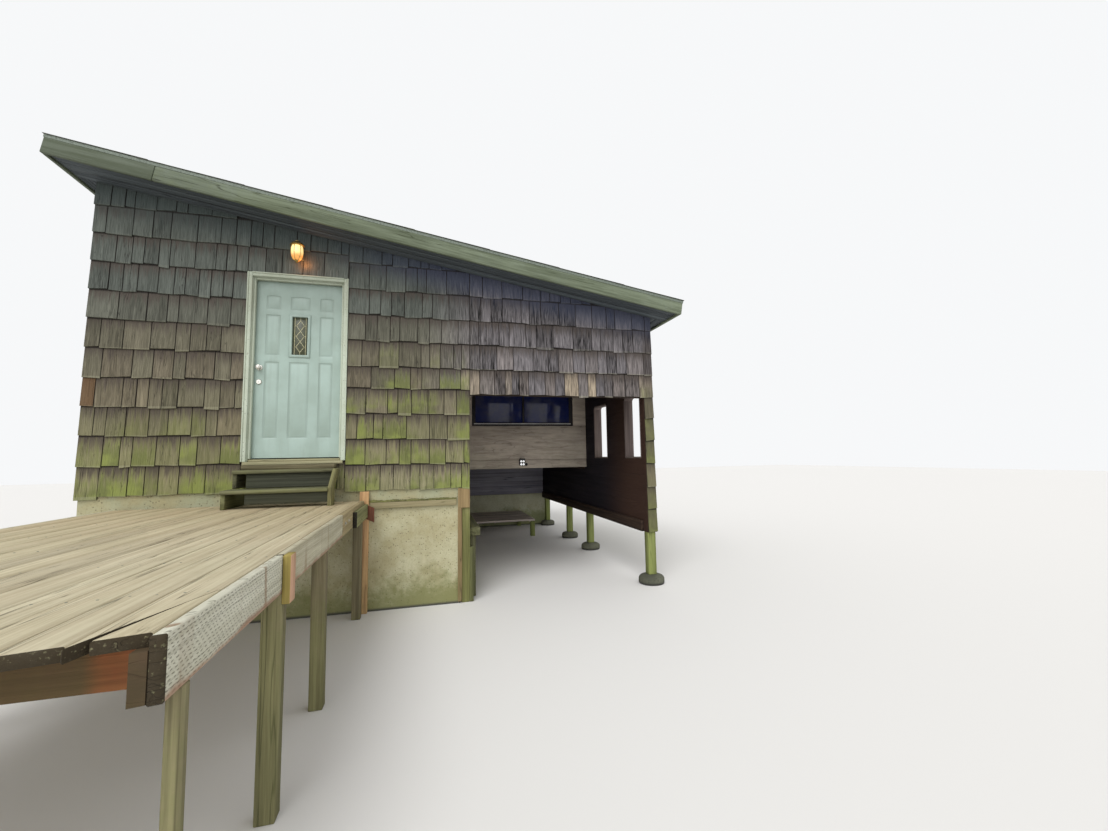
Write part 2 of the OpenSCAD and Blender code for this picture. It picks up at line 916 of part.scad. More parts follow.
// Posts stand under the rims, and a thin leg near the end of each
post_places = [0.02, 0.47, 0.72];
near_leg_back = 95;
near_leg_d = 60;
module deck_posts() {
  top = deck_z - rim_h;
  color("olivedrab") {
    for (x = [deck_left, deck_right - deck_post], at = post_places) {
      y = deck_far - deck_post - at * deck_l;
      board([x, y, 0], [x + deck_post, y + deck_post, top]);
    }
    for (x = [deck_left, deck_right - rim_t]) {
      y = deck_near(x + rim_t) + near_leg_back;
      board([x, y, 0], [x + rim_t, y + near_leg_d, top]);
    }
  }
}

foundation_front();
foundation_left();
foundation_rear();
foundation_slip();
foundation_timbers();
room_floor();
slip_floor();
floor_joists();
front_wall_left();
front_wall_at_door();
front_wall_middle();
front_wall_over_slip();
left_wall();
rear_wall();
slip_side_wall();
water_wall();
water_wall_rails();
slip_back_wall();
slip_window_frame();
slip_window_glass();
front_shingles();
side_shingles();
rear_shingles();
rafters();
roof_deck();
roofing();
fascia();
soffit();
door_frame();
door_sill();
door_leaf();
door_light();
door_glass();
door_hardware();
door_hinges();
wall_lamps();
door_steps();
slip_posts();
slip_piers();
landing_boards();
mooring_ledge();
deck_boards();
deck_rim();
deck_joists();
deck_posts();
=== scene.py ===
import json
import math
import random

import bpy
from mathutils import Matrix, Vector, noise


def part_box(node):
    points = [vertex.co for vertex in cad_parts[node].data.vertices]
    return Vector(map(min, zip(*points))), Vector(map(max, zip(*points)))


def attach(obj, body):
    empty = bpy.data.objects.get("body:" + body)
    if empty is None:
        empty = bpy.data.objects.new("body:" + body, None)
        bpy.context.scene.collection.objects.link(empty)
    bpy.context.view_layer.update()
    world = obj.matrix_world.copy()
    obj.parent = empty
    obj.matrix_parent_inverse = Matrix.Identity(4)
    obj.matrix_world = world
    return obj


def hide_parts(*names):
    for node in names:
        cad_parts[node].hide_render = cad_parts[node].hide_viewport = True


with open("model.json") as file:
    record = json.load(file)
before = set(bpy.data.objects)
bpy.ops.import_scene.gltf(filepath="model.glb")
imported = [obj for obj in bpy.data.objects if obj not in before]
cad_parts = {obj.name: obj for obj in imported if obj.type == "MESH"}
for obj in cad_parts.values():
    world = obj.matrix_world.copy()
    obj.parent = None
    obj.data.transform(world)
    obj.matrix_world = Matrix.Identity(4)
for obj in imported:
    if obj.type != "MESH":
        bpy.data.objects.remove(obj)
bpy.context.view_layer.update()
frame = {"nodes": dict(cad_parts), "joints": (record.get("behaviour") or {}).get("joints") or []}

print("stage: frame loaded")


# Camera, world and lamps
cameraSetup = {
    "place": (0.2067, -5.7809, 1.7019),
    "yaw": 15.253,  # degrees to the right
    "pitch": 4.949,  # degrees up
    "roll": -0.997,
    "lens": 15.044,
    "sensor": 36.0,
}

lightSetup = {
    "dome": 0.74,
    "background": (0.93, 0.94, 0.95),
    "suns": {
        "softSun": {"strength": 1.45, "angle": 32, "tilt": (38, 0, -28)},  # degrees, soft discs
        "softFill": {"strength": 0.85, "angle": 50, "tilt": (78, 0, -16)},
    },
    "floorColor": (0.78, 0.77, 0.75, 1),
    "floorSize": 90,
    "sunPlace": (0, -6, 12),
}


def deselectAll():
    if bpy.context.object and bpy.context.object.mode != "OBJECT":
        bpy.ops.object.mode_set(mode="OBJECT")
    bpy.ops.object.select_all(action="DESELECT")


def useOnly(piece):
    deselectAll()
    piece.select_set(True)
    bpy.context.view_layer.objects.active = piece


# An output of a shader node: sums and masks of it add their nodes to the same tree
class Wire:
    def __init__(self, tree, socket):
        self.tree = tree
        self.socket = socket

    def math(self, operation, other=0.5, clamp=False):
        settings = {"operation": operation, "use_clamp": clamp}
        return addNode(self.tree, "ShaderNodeMath", settings, {0: self, 1: other})[0]

    def __add__(self, other):
        return self.math("ADD", other)

    def __sub__(self, other):
        return self.math("SUBTRACT", other)

    def __rsub__(self, other):
        return self * -1.0 + other

    def __mul__(self, other):
        return self.math("MULTIPLY", other)

    def __truediv__(self, other):
        return self.math("DIVIDE", other)

    def ramp(self, low, high, newLow=0.0, newHigh=1.0):
        values = {"Value": self, "From Min": low, "From Max": high, "To Min": newLow, "To Max": newHigh}
        settings = {"clamp": True, "interpolation_type": "SMOOTHSTEP"}
        return addNode(self.tree, "ShaderNodeMapRange", settings, values)[0]

    def noise(self, scale, detail=3.0, roughness=0.55):
        values = {"Vector": self, "Scale": scale, "Detail": detail, "Roughness": roughness}
        return addNode(self.tree, "ShaderNodeTexNoise", None, values)[0]

    def stretched(self, *scale):
        return addNode(self.tree, "ShaderNodeMapping", None, {"Vector": self, "Scale": scale})[0]

    def vectorMath(self, operation, other):
        return addNode(self.tree, "ShaderNodeVectorMath", {"operation": operation}, {0: self, 1: other})[0]

    def xyz(self):
        parts = addNode(self.tree, "ShaderNodeSeparateXYZ", None, {0: self})
        return parts[0], parts[1], parts[2]

    def spots(self, scale, size, share):
        # Round spots in some of the cells
        cells = addNode(self.tree, "ShaderNodeTexVoronoi", {"feature": "F1"},
                        {"Vector": self, "Scale": scale})
        chance = addNode(self.tree, "ShaderNodeSeparateColor", None, {0: cells["Color"]})[0]
        return cells["Distance"].ramp(*size, 1.0, 0.0) * chance.ramp(*share)


def addNode(tree, kind, settings=None, values=None):
    # Gives the outputs of the new node, by their numbers and their names
    node = tree.nodes.new(kind)
    for name, value in (settings or {}).items():
        setattr(node, name, value)
    for socket, value in (values or {}).items():
        if isinstance(value, Wire):
            tree.links.new(value.socket, node.inputs[socket])
        else:
            isColor = node.inputs[socket].type == "RGBA"
            node.inputs[socket].default_value = (*value, 1) if isColor else value
    return {key: Wire(tree, out) for index, out in enumerate(node.outputs) for key in (index, out.name)}


def mix(factor, first, second, blend="MIX"):
    tree = next(part.tree for part in (factor, first, second) if isinstance(part, Wire))
    settings = {"data_type": "RGBA", "blend_type": blend}
    return addNode(tree, "ShaderNodeMix", settings, {0: factor, 6: first, 7: second})[2]


def darker(color, share):
    return tuple(part * share for part in color)


def attributeOf(tree, name, output="Fac"):
    return addNode(tree, "ShaderNodeAttribute", {"attribute_name": name})[output]


def addCamera():
    data = bpy.data.cameras.new("photoCamera")
    data.lens = cameraSetup["lens"]
    data.sensor_width = cameraSetup["sensor"]
    data.sensor_fit = "HORIZONTAL"
    data.clip_end = 300
    camera = bpy.data.objects.new("photoCamera", data)
    bpy.context.scene.collection.objects.link(camera)
    turn = Matrix.Rotation(math.radians(-cameraSetup["yaw"]), 4, "Z")
    turn = turn @ Matrix.Rotation(math.radians(90 + cameraSetup["pitch"]), 4, "X")
    turn = turn @ Matrix.Rotation(math.radians(cameraSetup["roll"]), 4, "Z")
    camera.matrix_world = Matrix.Translation(cameraSetup["place"]) @ turn
    bpy.context.scene.camera = camera


def addWorld():
    world = bpy.data.worlds.new("softStudio")
    world.use_nodes = True
    tree = world.node_tree
    tree.nodes.clear()
    rays = addNode(tree, "ShaderNodeLightPath")
    seen = rays["Is Camera Ray"].math("MAXIMUM", rays["Is Glossy Ray"]).math("MAXIMUM",
                                                                             rays["Is Transmission Ray"])
    dome = addNode(tree, "ShaderNodeBackground", None, {"Color": (1, 1, 1),
                                                        "Strength": lightSetup["dome"]})[0]
    back = addNode(tree, "ShaderNodeBackground", None, {"Color": lightSetup["background"],
                                                        "Strength": 1.0})[0]
    mixed = addNode(tree, "ShaderNodeMixShader", None, {0: seen, 1: dome, 2: back})[0]
    addNode(tree, "ShaderNodeOutputWorld", None, {"Surface": mixed})
    bpy.context.scene.world = world
    bpy.context.scene.view_settings.view_transform = "Standard"


def addSuns():
    for name, look in lightSetup["suns"].items():
        data = bpy.data.lights.new(name, "SUN")
        data.energy = look["strength"]
        data.angle = math.radians(look["angle"])
        sun = bpy.data.objects.new(name, data)
        sun.rotation_euler = [math.radians(value) for value in look["tilt"]]
        sun.location = lightSetup["sunPlace"]
        bpy.context.scene.collection.objects.link(sun)


def addFloor():
    deselectAll()
    bpy.ops.mesh.primitive_plane_add(size=lightSetup["floorSize"], location=(0, 0, 0))
    floor = bpy.context.object
    floor.name = "paleFloor"
    material = bpy.data.materials.new("paleFloor")
    material.use_nodes = True
    shader = material.node_tree.nodes["Principled BSDF"]
    shader.inputs["Base Color"].default_value = lightSetup["floorColor"]
    shader.inputs["Roughness"].default_value = 0.95
    shader.inputs["Specular IOR Level"].default_value = 0.1
    floor.data.materials.append(material)


addCamera()
addWorld()
addSuns()
addFloor()
print("stage: camera, light and floor")


# Shader groups shared by the finishes
def newGroup(name, numbers):
    # The group takes a vector and the named numbers
    group = bpy.data.node_groups.new(name, "ShaderNodeTree")
    group.interface.new_socket(name="Vector", in_out="INPUT", socket_type="NodeSocketVector")
    for label, value in numbers.items():
        socket = group.interface.new_socket(name=label, in_out="INPUT", socket_type="NodeSocketFloat")
        socket.default_value = value
    return group, addNode(group, "NodeGroupInput")


def closeGroup(group, results):
    for label in results:
        group.interface.new_socket(name=label, in_out="OUTPUT", socket_type="NodeSocketFloat")
    addNode(group, "NodeGroupOutput", None, results)
    return group


def makeGrainGroup():
    # Vector runs along the grain on X, in metres
    group, given = newGroup("weatheredGrain", {"Tone": 0.5, "Across": 60.0, "Along": 2.0})
    sizes = {0: given["Along"], 1: given["Across"], 2: given["Across"]}
    scale = addNode(group, "ShaderNodeCombineXYZ", None, sizes)[0]
    grain = given["Vector"].vectorMath("ADD", given["Tone"] * 37.0).vectorMath("MULTIPLY", scale)
    streak = (grain.noise(0.35, 2.0) * 0.45 + grain.noise(1.0, 4.0, 0.65) * 0.55).ramp(0.36, 0.64)
    ridge = (grain.noise(0.62, 1.0) - 0.5).math("ABSOLUTE")
    crack = ridge.ramp(0.0, 0.022, 1.0, 0.0) * grain.noise(0.2, 1.0).ramp(0.5, 0.6)
    height = streak * 0.6 + grain.noise(4.3, 2.0) * 0.5 - crack * 0.9
    return closeGroup(group, {"Streak": streak, "Crack": crack, "Height": height})


def makeAlgaeGroup():
    # Growth that thickens from Top down to Bottom, in patches
    group, given = newGroup("algaeGrowth", {"Tone": 0.5, "Bottom": 1.2, "Top": 3.0, "Amount": 1.0})
    place = given["Vector"]
    levels = {"Value": place.xyz()[2], "From Min": given["Top"], "From Max": given["Bottom"]}
    fall = addNode(group, "ShaderNodeMapRange", {"clamp": True}, levels)[0]
    patch = (place.noise(1.3, 4.0, 0.6) - 0.5) * 1.7 + (place.noise(19.0, 3.0, 0.6) - 0.5) * 0.7
    patch = patch + (given["Tone"] - 0.5) * 0.8
    mask = (fall + patch).ramp(0.35, 0.95)
    return closeGroup(group, {"Mask": mask.math("MULTIPLY", given["Amount"], True)})


def makeStainGroup():
    # Soft clouds and vertical runs, for concrete and paint
    group, given = newGroup("stainClouds", {"Size": 1.0})
    scaled = given["Vector"].vectorMath("MULTIPLY", given["Size"])
    cloud = scaled.noise(2.2, 5.0, 0.6).ramp(0.35, 0.68)
    runs = scaled.stretched(9.0, 9.0, 0.7).noise(1.0, 3.0, 0.6).ramp(0.5, 0.7)
    return closeGroup(group, {"Cloud": cloud, "Runs": runs})


def makeKnotGroup():
    # Dark knots in plywood and boards: Vector runs along the grain on X
    group, given = newGroup("boardKnots", {"Density": 4.0})
    squeezed = given["Vector"].stretched(0.55, 1.0, 1.0).vectorMath("MULTIPLY", given["Density"])
    return closeGroup(group, {"Mask": squeezed.spots(1.0, (0.04, 0.13), (0.55, 0.6))})


grainGroup = makeGrainGroup()
algaeGroup = makeAlgaeGroup()
stainGroup = makeStainGroup()
knotGroup = makeKnotGroup()


def useGroup(group, place, values=None):
    return addNode(place.tree, "ShaderNodeGroup", {"node_tree": group}, {"Vector": place, **(values or {})})


def startMaterial(name):
    material = bpy.data.materials.new(name)
    material.use_nodes = True
    material.node_tree.nodes.clear()
    return material, addNode(material.node_tree, "ShaderNodeTexCoord")


def closeMaterial(material, values, height=None, depth=0.0, strength=1.0):
    tree = material.node_tree
    if height:
        bump = {"Height": height, "Distance": depth, "Strength": strength}
        values["Normal"] = addNode(tree, "ShaderNodeBump", None, bump)[0]
    shader = addNode(tree, "ShaderNodeBsdfPrincipled", None, values)[0]
    addNode(tree, "ShaderNodeOutputMaterial", None, {"Surface": shader})
    return material


def grainSource(place, follow="board"):
    # Boards carry their own grain coordinates; a node kept from the frame takes them from its place
    if follow == "board":
        return attributeOf(place.tree, "grain", "Vector"), attributeOf(place.tree, "tone")
    if follow == "alongX":
        return place, 0.5
    x, y, z = place.xyz()
    return addNode(place.tree, "ShaderNodeCombineXYZ", None, {0: y, 1: x, 2: z})[0], 0.5


def wood(*look, **more):
    return look, more


endGrain = (0.045, 0.034, 0.019)
redFoot = (0.36, 0.20, 0.13)

woodLooks = {
    # light, dark, streaks across and along, tint, then the growth: amount, bottom, top and green
    "deckBoards": wood((0.65, 0.59, 0.42), (0.49, 0.42, 0.285), 60, 1.5, 0.12,
                       (0.2, 0.6, 2.0, (0.4, 0.38, 0.22)), knots=3.0, ends=endGrain,
                       zones=[(1, -3.4, -0.6, (0.44, 0.335, 0.185), 0.55)]),
    "rimBoards": wood((0.66, 0.63, 0.48), (0.45, 0.41, 0.29), 45, 1.2, 0.1,
                      (0.3, 0.6, 1.9, (0.33, 0.31, 0.16)), slits=0.35, rust=0.45, cracks=0.3, foot=redFoot,
                      ends=endGrain),
    "deckJoists": wood((0.27, 0.088, 0.032), (0.12, 0.045, 0.02), 40, 1.0, 0.2,
                       (0.3, 0.8, 1.6, (0.12, 0.1, 0.03)), follow="alongX", cracks=0.2,
                       zones=[(0, -0.575, -0.565, (0.06, 0.048, 0.027), 0.9),
                              (0, -0.675, -0.735, (0.075, 0.058, 0.03), 0.85)]),
    "mossyTimber": wood((0.185, 0.182, 0.098), (0.09, 0.089, 0.05), 50, 2.0, 0.2,
                        (0.7, 0.2, 2.4, (0.172, 0.182, 0.068))),
    "greenPost": wood((0.275, 0.262, 0.115), (0.146, 0.134, 0.063), 45, 1.5, 0.15,
                      (0.7, 0.1, 1.6, (0.232, 0.245, 0.078))),
    "slipPost": wood((0.265, 0.295, 0.1), (0.14, 0.15, 0.058), 45, 1.5, 0.15,
                     (0.6, 0.1, 1.6, (0.23, 0.27, 0.08))),
    "deckPost": wood((0.26, 0.225, 0.13), (0.13, 0.11, 0.065), 45, 1.5, 0.15,
                     (0.55, 0.0, 1.3, (0.2, 0.21, 0.08))),
    "redPost": wood((0.68, 0.43, 0.21), (0.43, 0.25, 0.125), 40, 1.5, 0.1,
                    (0.3, 0.2, 1.2, (0.32, 0.3, 0.12))),
    "brownTimber": wood((0.37, 0.265, 0.13), (0.2, 0.14, 0.07), 45, 1.5, 0.1,
                        (0.35, 0.3, 1.6, (0.25, 0.23, 0.1))),
    "strapPlate": wood((0.21, 0.075, 0.042), (0.11, 0.042, 0.028), 30, 3.0, 0.1,
                       (0.1, 0.9, 1.6, (0.15, 0.12, 0.05))),
    "mossPad": wood((0.21, 0.2, 0.085), (0.1, 0.095, 0.045), 60, 22.0, 0.2,
                    (0.8, 0.9, 1.8, (0.24, 0.25, 0.08))),
    "framing": wood((0.42, 0.31, 0.19), (0.24, 0.16, 0.09), 35, 0.8, 0.1, follow="alongX", knots=2.5),
    "wallBoardsX": wood((0.07, 0.045, 0.032), (0.02, 0.013, 0.011), 30, 0.8, 0.2, follow="alongX",
                        laps=0.19),
    # Pale and bluish: painted light and the painted blue cast of the shade at the back of the slip
    "rearBoards": wood((0.4, 0.39, 0.46), (0.2, 0.195, 0.24), 30, 0.8, 0.2, follow="alongX", laps=0.24),
    "wallBoardsY": wood((0.017, 0.013, 0.02), (0.01, 0.008, 0.013), 14, 0.6, 0.2, follow="alongY",
                        cracks=0.2, zones=[(1, 1.7, 0.4, (0.05, 0.024, 0.015), 0.9)]),
    "whiteRim": wood((0.69, 0.68, 0.57), (0.51, 0.495, 0.39), 40, 1.0, 0.05,
                     (0.12, 0.6, 1.9, (0.33, 0.33, 0.18)), slits=0.62, rust=0.8, cracks=0.15, foot=redFoot,
                     ends=endGrain),
    "tanRim": wood((0.52, 0.4, 0.24), (0.29, 0.225, 0.13), 45, 1.2, 0.1,
                   (0.4, 0.6, 2.0, (0.28, 0.27, 0.12))),
    "greenRim": wood((0.3, 0.29, 0.15), (0.15, 0.145, 0.075), 45, 1.2, 0.1,
                     (0.6, 0.4, 1.9, (0.24, 0.255, 0.1)), ends=(0.02, 0.016, 0.011)),
    "blockWood": wood((0.44, 0.35, 0.105), (0.3, 0.235, 0.072), 50, 1.5, 0.05,
                      (0.4, 0.9, 1.3, (0.3, 0.27, 0.07)), side=(0.74, 0.44, 0.31)),
    "stepRiser": wood((0.105, 0.11, 0.076), (0.05, 0.054, 0.038), 45, 1.0, 0.15,
                      (0.25, 1.0, 2.0, (0.095, 0.105, 0.05))),
    "backBoard": wood((0.2, 0.175, 0.098), (0.095, 0.082, 0.048), 55, 3.0, 0.1,
                      (0.5, 1.0, 2.2, (0.2, 0.19, 0.08))),
    # Pale: painted light on the landing top, which lies in deep shade
    "landingWood": wood((0.76, 0.67, 0.6), (0.52, 0.45, 0.41), 45, 1.0, 0.15,
                        (0.1, 0.1, 1.0, (0.15, 0.15, 0.08))),
    "floorBoards": wood((0.33, 0.25, 0.16), (0.19, 0.13, 0.08), 40, 0.9, 0.15, knots=3.0),
    # Pale: painted light, standing in for the light the water throws into the slip
    "plywood": wood((0.52, 0.455, 0.38), (0.34, 0.29, 0.245), 22, 3.5, 0.08,
                    (0.25, 1.2, 2.2, (0.33, 0.32, 0.22)), knots=4.6, cracks=0.4),
    "jambWood": wood((0.21, 0.165, 0.15), (0.11, 0.085, 0.08), 40, 1.0, 0.15,
                     (0.2, 1.2, 2.2, (0.14, 0.13, 0.08))),
    "fascia": wood((0.185, 0.215, 0.175), (0.1, 0.12, 0.088), 42, 2.2, 0.2,
                   (0.4, 3.2, 5.4, (0.15, 0.178, 0.082)), knots=3.4,
                   zones=[(0, 0.5, -3.2, (0.085, 0.1, 0.06), 0.5)]),
    # Bluish grey, partly the painted blue cast of the shade under the eaves
    "soffitBoards": wood((0.105, 0.125, 0.135), (0.055, 0.064, 0.072), 35, 0.8, 0.15),
    "threshold": wood((0.44, 0.42, 0.26), (0.27, 0.24, 0.14), 50, 1.5, 0.1,
                      (0.3, 1.4, 2.0, (0.32, 0.33, 0.17))),
    "ledgerWood": wood((0.39, 0.335, 0.2), (0.255, 0.21, 0.125), 50, 1.5, 0.1,
                       (0.25, 1.0, 1.8, (0.27, 0.27, 0.12))),
    "waterSideBoards": wood((0.085, 0.05, 0.033), (0.024, 0.013, 0.01), 24, 0.9, 0.25,
                            (0.12, 0.5, 1.6, (0.05, 0.05, 0.02)), knots=2.4),
}


def slitMask(vector):
    # Rows of short incisions along the board, each row set on a little
    uneven = addNode(vector.tree, "ShaderNodeTexNoise", None,
                     {"Vector": vector, "Scale": 14.0, "Detail": 2.0})[1]
    x, _, z = uneven.vectorMath("MULTIPLY", (0.035, 0.035, 0.022)).vectorMath("ADD", vector).xyz()
    row = z / 0.0125
    step = x / 0.029 + row.math("FLOOR") * 0.37
    along = (step.math("FRACT") - 0.5).math("ABSOLUTE")
    across = (row.math("FRACT") - 0.5).math("ABSOLUTE")
    return along.ramp(0.16, 0.30, 1.0, 0.0) * across.ramp(0.06, 0.20, 1.0, 0.0)


def woodMaterial(name, light, dark, across, along, tint, growth=None, follow="board", cracks=0.8,
                 zones=(), ends=None, side=None, knots=0, slits=0, laps=0, rust=0, foot=None):
    material, coords = startMaterial(name)
    place = coords["Object"]
    vector, tone = grainSource(place, follow)
    grain = useGroup(grainGroup, vector, {"Tone": tone, "Across": across, "Along": along})
    streak = grain["Streak"]
    height = grain["Height"]
    color = mix(streak, dark, light)
    if side:
        # The broad side has another colour than the narrow faces, partly painted light: the broad side
        # lighter, the narrow faces darker
        broad = coords["Normal"].xyz()[0].ramp(0.6, 0.8)
        color = mix(broad, color, mix(streak, darker(side, 0.7), side))
    if follow == "board":
        color = mix(1.0, color, tone.ramp(0.0, 1.0, 1 - tint * 1.6, 1 + tint), "MULTIPLY")
    clouds = useGroup(stainGroup, place)
    color = mix(clouds["Cloud"] * 0.3, color, dark)
    for axis, start, end, other, amount in zones:
        # Another colour towards one side of the building
        color = mix(place.xyz()[axis].ramp(start, end, 0.0, amount), color, other)
    if knots:
        mask = useGroup(knotGroup, vector, {"Density": knots})["Mask"]
        color = mix(mask * 0.75, color, darker(dark, 0.35))
    if slits:
        slit = slitMask(vector)
        color = mix(slit * slits, color, (0.15, 0.14, 0.10))
        height = height - slit
    if laps:
        lap = (place.xyz()[2] / laps).math("FRACT").ramp(0.0, 0.03, 1.0, 0.0)
        color = mix(lap * 0.8, color, (0.006, 0.005, 0.005))
        height = height - lap
    if rust:
        narrow = place.stretched(11, 11, 0.8).noise(1.0, 1.0).ramp(0.66, 0.73)
        runs = (clouds["Runs"] * 0.5).math("MAXIMUM", narrow)
        color = mix(runs * rust, color, (0.27, 0.17, 0.10))
    if foot:
        # A reddish strip along the lower edge of the board
        level = vector.xyz()[2] - place.noise(6.0, 3.0) * 0.05
        color = mix(level.ramp(-0.112, -0.085, 0.85, 0.0), color, foot)
    color = mix(grain["Crack"] * cracks, color, darker(dark, 0.25))
    if growth:
        amount, bottom, top, green = growth
        levels = {"Tone": tone, "Bottom": bottom, "Top": top, "Amount": amount}
        algae = useGroup(algaeGroup, place, levels)["Mask"]
        color = mix(algae, color, mix(streak, darker(green, 0.55), green))
    if ends:
        # Dark, mossy end grain
        grime = mix(place.noise(90.0, 3.0).ramp(0.58, 0.78, 0.0, 0.5), ends, green)
        color = mix(attributeOf(place.tree, "ends").ramp(0.3, 0.7), color, grime)
    values = {"Base Color": color, "Roughness": streak.ramp(0.0, 1.0, 0.92, 0.78),
              "Specular IOR Level": 0.25}
    return closeMaterial(material, values, height, 0.0022)


shingleLook = {
    # The top rows' grey is darkened with painted shade from the roof above
    "shadedEaveGrey": (0.098, 0.109, 0.096),
    "brown": (0.128, 0.119, 0.085),
    "tan": (0.200, 0.182, 0.105),
    "low": (0.300, 0.270, 0.175),  # the lowest rows between the door and the slip
    "slip": (0.138, 0.128, 0.134),
    "pink": (0.215, 0.165, 0.118),
    "pale": (0.27, 0.222, 0.160),
    # Dirt, also used as painted shade under the butts
    "dirtAndShade": (0.070, 0.056, 0.048),
    "wash": (0.228, 0.242, 0.096),
    "moss": (0.145, 0.165, 0.052),
    "brightMoss": (0.225, 0.262, 0.068),
    "rusty": (0.135, 0.078, 0.040),
    "shade": (0.066, 0.084, 0.084),
    "blueShade": (0.062, 0.075, 0.125),
    # A pale colour for the painted highlight along the butts
    "edge": (0.34, 0.33, 0.23),
    # Near black: cracks, dark joints and the painted shadow under the butts
    "black": (0.020, 0.017, 0.015),
}


def shingleMaterial():
    look = shingleLook
    material, coords = startMaterial("weatheredShingles")
    place = coords["Object"]
    x, y, z = place.xyz()
    vector, tone = grainSource(place)
    rise = attributeOf(place.tree, "rise")
    rim = attributeOf(place.tree, "rim")
    grain = useGroup(grainGroup, vector, {"Tone": tone, "Across": 80.0, "Along": 1.6})
    streak = grain["Streak"]
    comb = vector.stretched(1.8, 125, 125).noise(1.0, 1.0).ramp(0.40, 0.60, -0.5, 0.5)
    second = (tone * 17.3).math("FRACT")  # more chances for each shingle
    third = (tone * 53.7).math("FRACT")
    level = z - (rise - 0.5) * 0.30
    front = y.ramp(0.3, 0.1)  # the front has looks of its own
    byDoor = x.ramp(-0.9, -0.6) * x.ramp(0.95, 0.55) * front
    overSlip = x.ramp(0.0, 1.0) * level.ramp(2.45, 2.55) * front
    # Grey and darker under the eave, a painted shade of the roof above; brown in the middle, tan low down;
    # grey-brown over the slip
    base = mix(level.ramp(2.9, 1.5), look["brown"], look["tan"])
    base = mix(byDoor * level.ramp(2.0, 1.4), base, look["low"])
    base = mix(level.ramp(3.0, 3.6), base, look["shadedEaveGrey"])
    base = mix(overSlip, base, look["slip"])
    base = mix(second.ramp(0.5, 0.9) * level.ramp(3.3, 2.6, 0.0, 0.28), base, look["pink"])
    paleOnes = tone.ramp(0.52, 0.74, 0.0, 0.85) * level.ramp(2.72, 2.68)
    base = mix(paleOnes * overSlip, base, look["pale"])
    # Each shingle has its own tone, stronger over the slip, with fine streaks
    own = (tone - 0.47) * overSlip.ramp(0.0, 1.0, 0.45, 0.80)
    streaks = (streak - 0.55) * overSlip.ramp(0.0, 1.0, 0.42, 0.80)
    lines = comb * overSlip.ramp(0.0, 1.0, 0.26, 0.62)
    color = mix(1.0, base, own + streaks + (lines + 1.0), "MULTIPLY")
    # Darker towards the top of each shingle, under the butt above: dirt runs and painted shade
    soft = rise + streak * 0.45
    color = mix(soft.ramp(0.70, 1.25, 0.0, 0.85), color, look["dirtAndShade"])
    # A green wash on the lowest rows
    wash = level.ramp(2.3, 1.7) * soft.ramp(1.05, 0.35) * third.ramp(0.0, 1.0, 0.3, 0.75)
    color = mix(wash, color, look["wash"])
    # Moss on the lower part of a shingle, in patches: low on the left, higher beside the door
    zone = (level - (byDoor * 0.80 + 2.00)).ramp(0.35, -0.25)
    patch = place.noise(1.9, 2.0) + third * 0.30 + place.noise(14.0, 3.0) * 0.22
    patch = patch + level.ramp(2.3, 1.6, 0.0, 0.10)
    moss = patch.ramp(0.70, 0.92) * zone * soft.ramp(1.15, 0.45)
    atCorner = x.ramp(2.95, 3.02) * z.ramp(2.70, 2.52) * front
    moss = moss.math("MAXIMUM", atCorner * third.ramp(0.3, 0.8, 0.15, 0.7))
    tuft = mix(place.noise(5.0, 2.0).ramp(0.4, 0.6), look["moss"], look["brightMoss"])
    color = mix(moss * 0.8, color, tuft)
    # Darker on the front beyond the right corner
    color = mix(x.ramp(3.02, 3.03) * (front * 0.45), color, look["dirtAndShade"])
    color = mix(tone.ramp(0.965, 0.975, 0.0, 0.85), color, look["rusty"])
    color = mix(grain["Crack"] * 0.6, color, look["black"])
    # In the shade close under the roof
    below = leftHigh.z + roofSlope * leftLow.x - (z + x * roofSlope)
    shaded = mix(x.ramp(-1.2, 0.4) * front, look["shade"], look["blueShade"])
    color = mix(below.ramp(0.45, 0.08, 0.0, 0.75), color, shaded)
    # A painted highlight along the butt; dark joints at the sides, and a painted shadow under the butt above
    buttHighlight = rise.ramp(0.0, 0.03, 0.3, 0.0) * level.ramp(3.5, 2.6, 0.2, 1.0)
    color = mix(buttHighlight, color, look["edge"])
    side = (1.0 - rim / (second * 0.004 + 0.0015)).math("ADD", 0.0, True)
    edges = rise.ramp(0.94, 1.0, 0.0, 0.85).math("MAXIMUM", side * 0.85)
    color = mix(edges, color, look["black"])
    values = {"Base Color": color, "Roughness": streak.ramp(0.0, 1.0, 0.93, 0.8), "Specular IOR Level": 0.2}
    return closeMaterial(material, values, grain["Height"] + comb * 0.5, 0.003)


concreteLook = {
    "mossyConcrete": {
        "pale": (0.53, 0.51, 0.34), "dirty": (0.40, 0.355, 0.205), "moss": (0.20, 0.21, 0.08),
        "upper": (0.36, 0.375, 0.25), "wet": (0.07, 0.07, 0.055), "backShadeTint": (0.95, 1.0, 1.12),
        "mossTop": 0.7, "wetTop": 0.04,
    },
    "pierConcrete": {
        "pale": (0.135, 0.138, 0.098), "dirty": (0.07, 0.073, 0.054), "moss": (0.08, 0.085, 0.04),
        "upper": (0.135, 0.138, 0.098), "wet": (0.04, 0.04, 0.034), "backShadeTint": (1, 1, 1),
        "mossTop": 0.1, "wetTop": 0.045,
    },
}


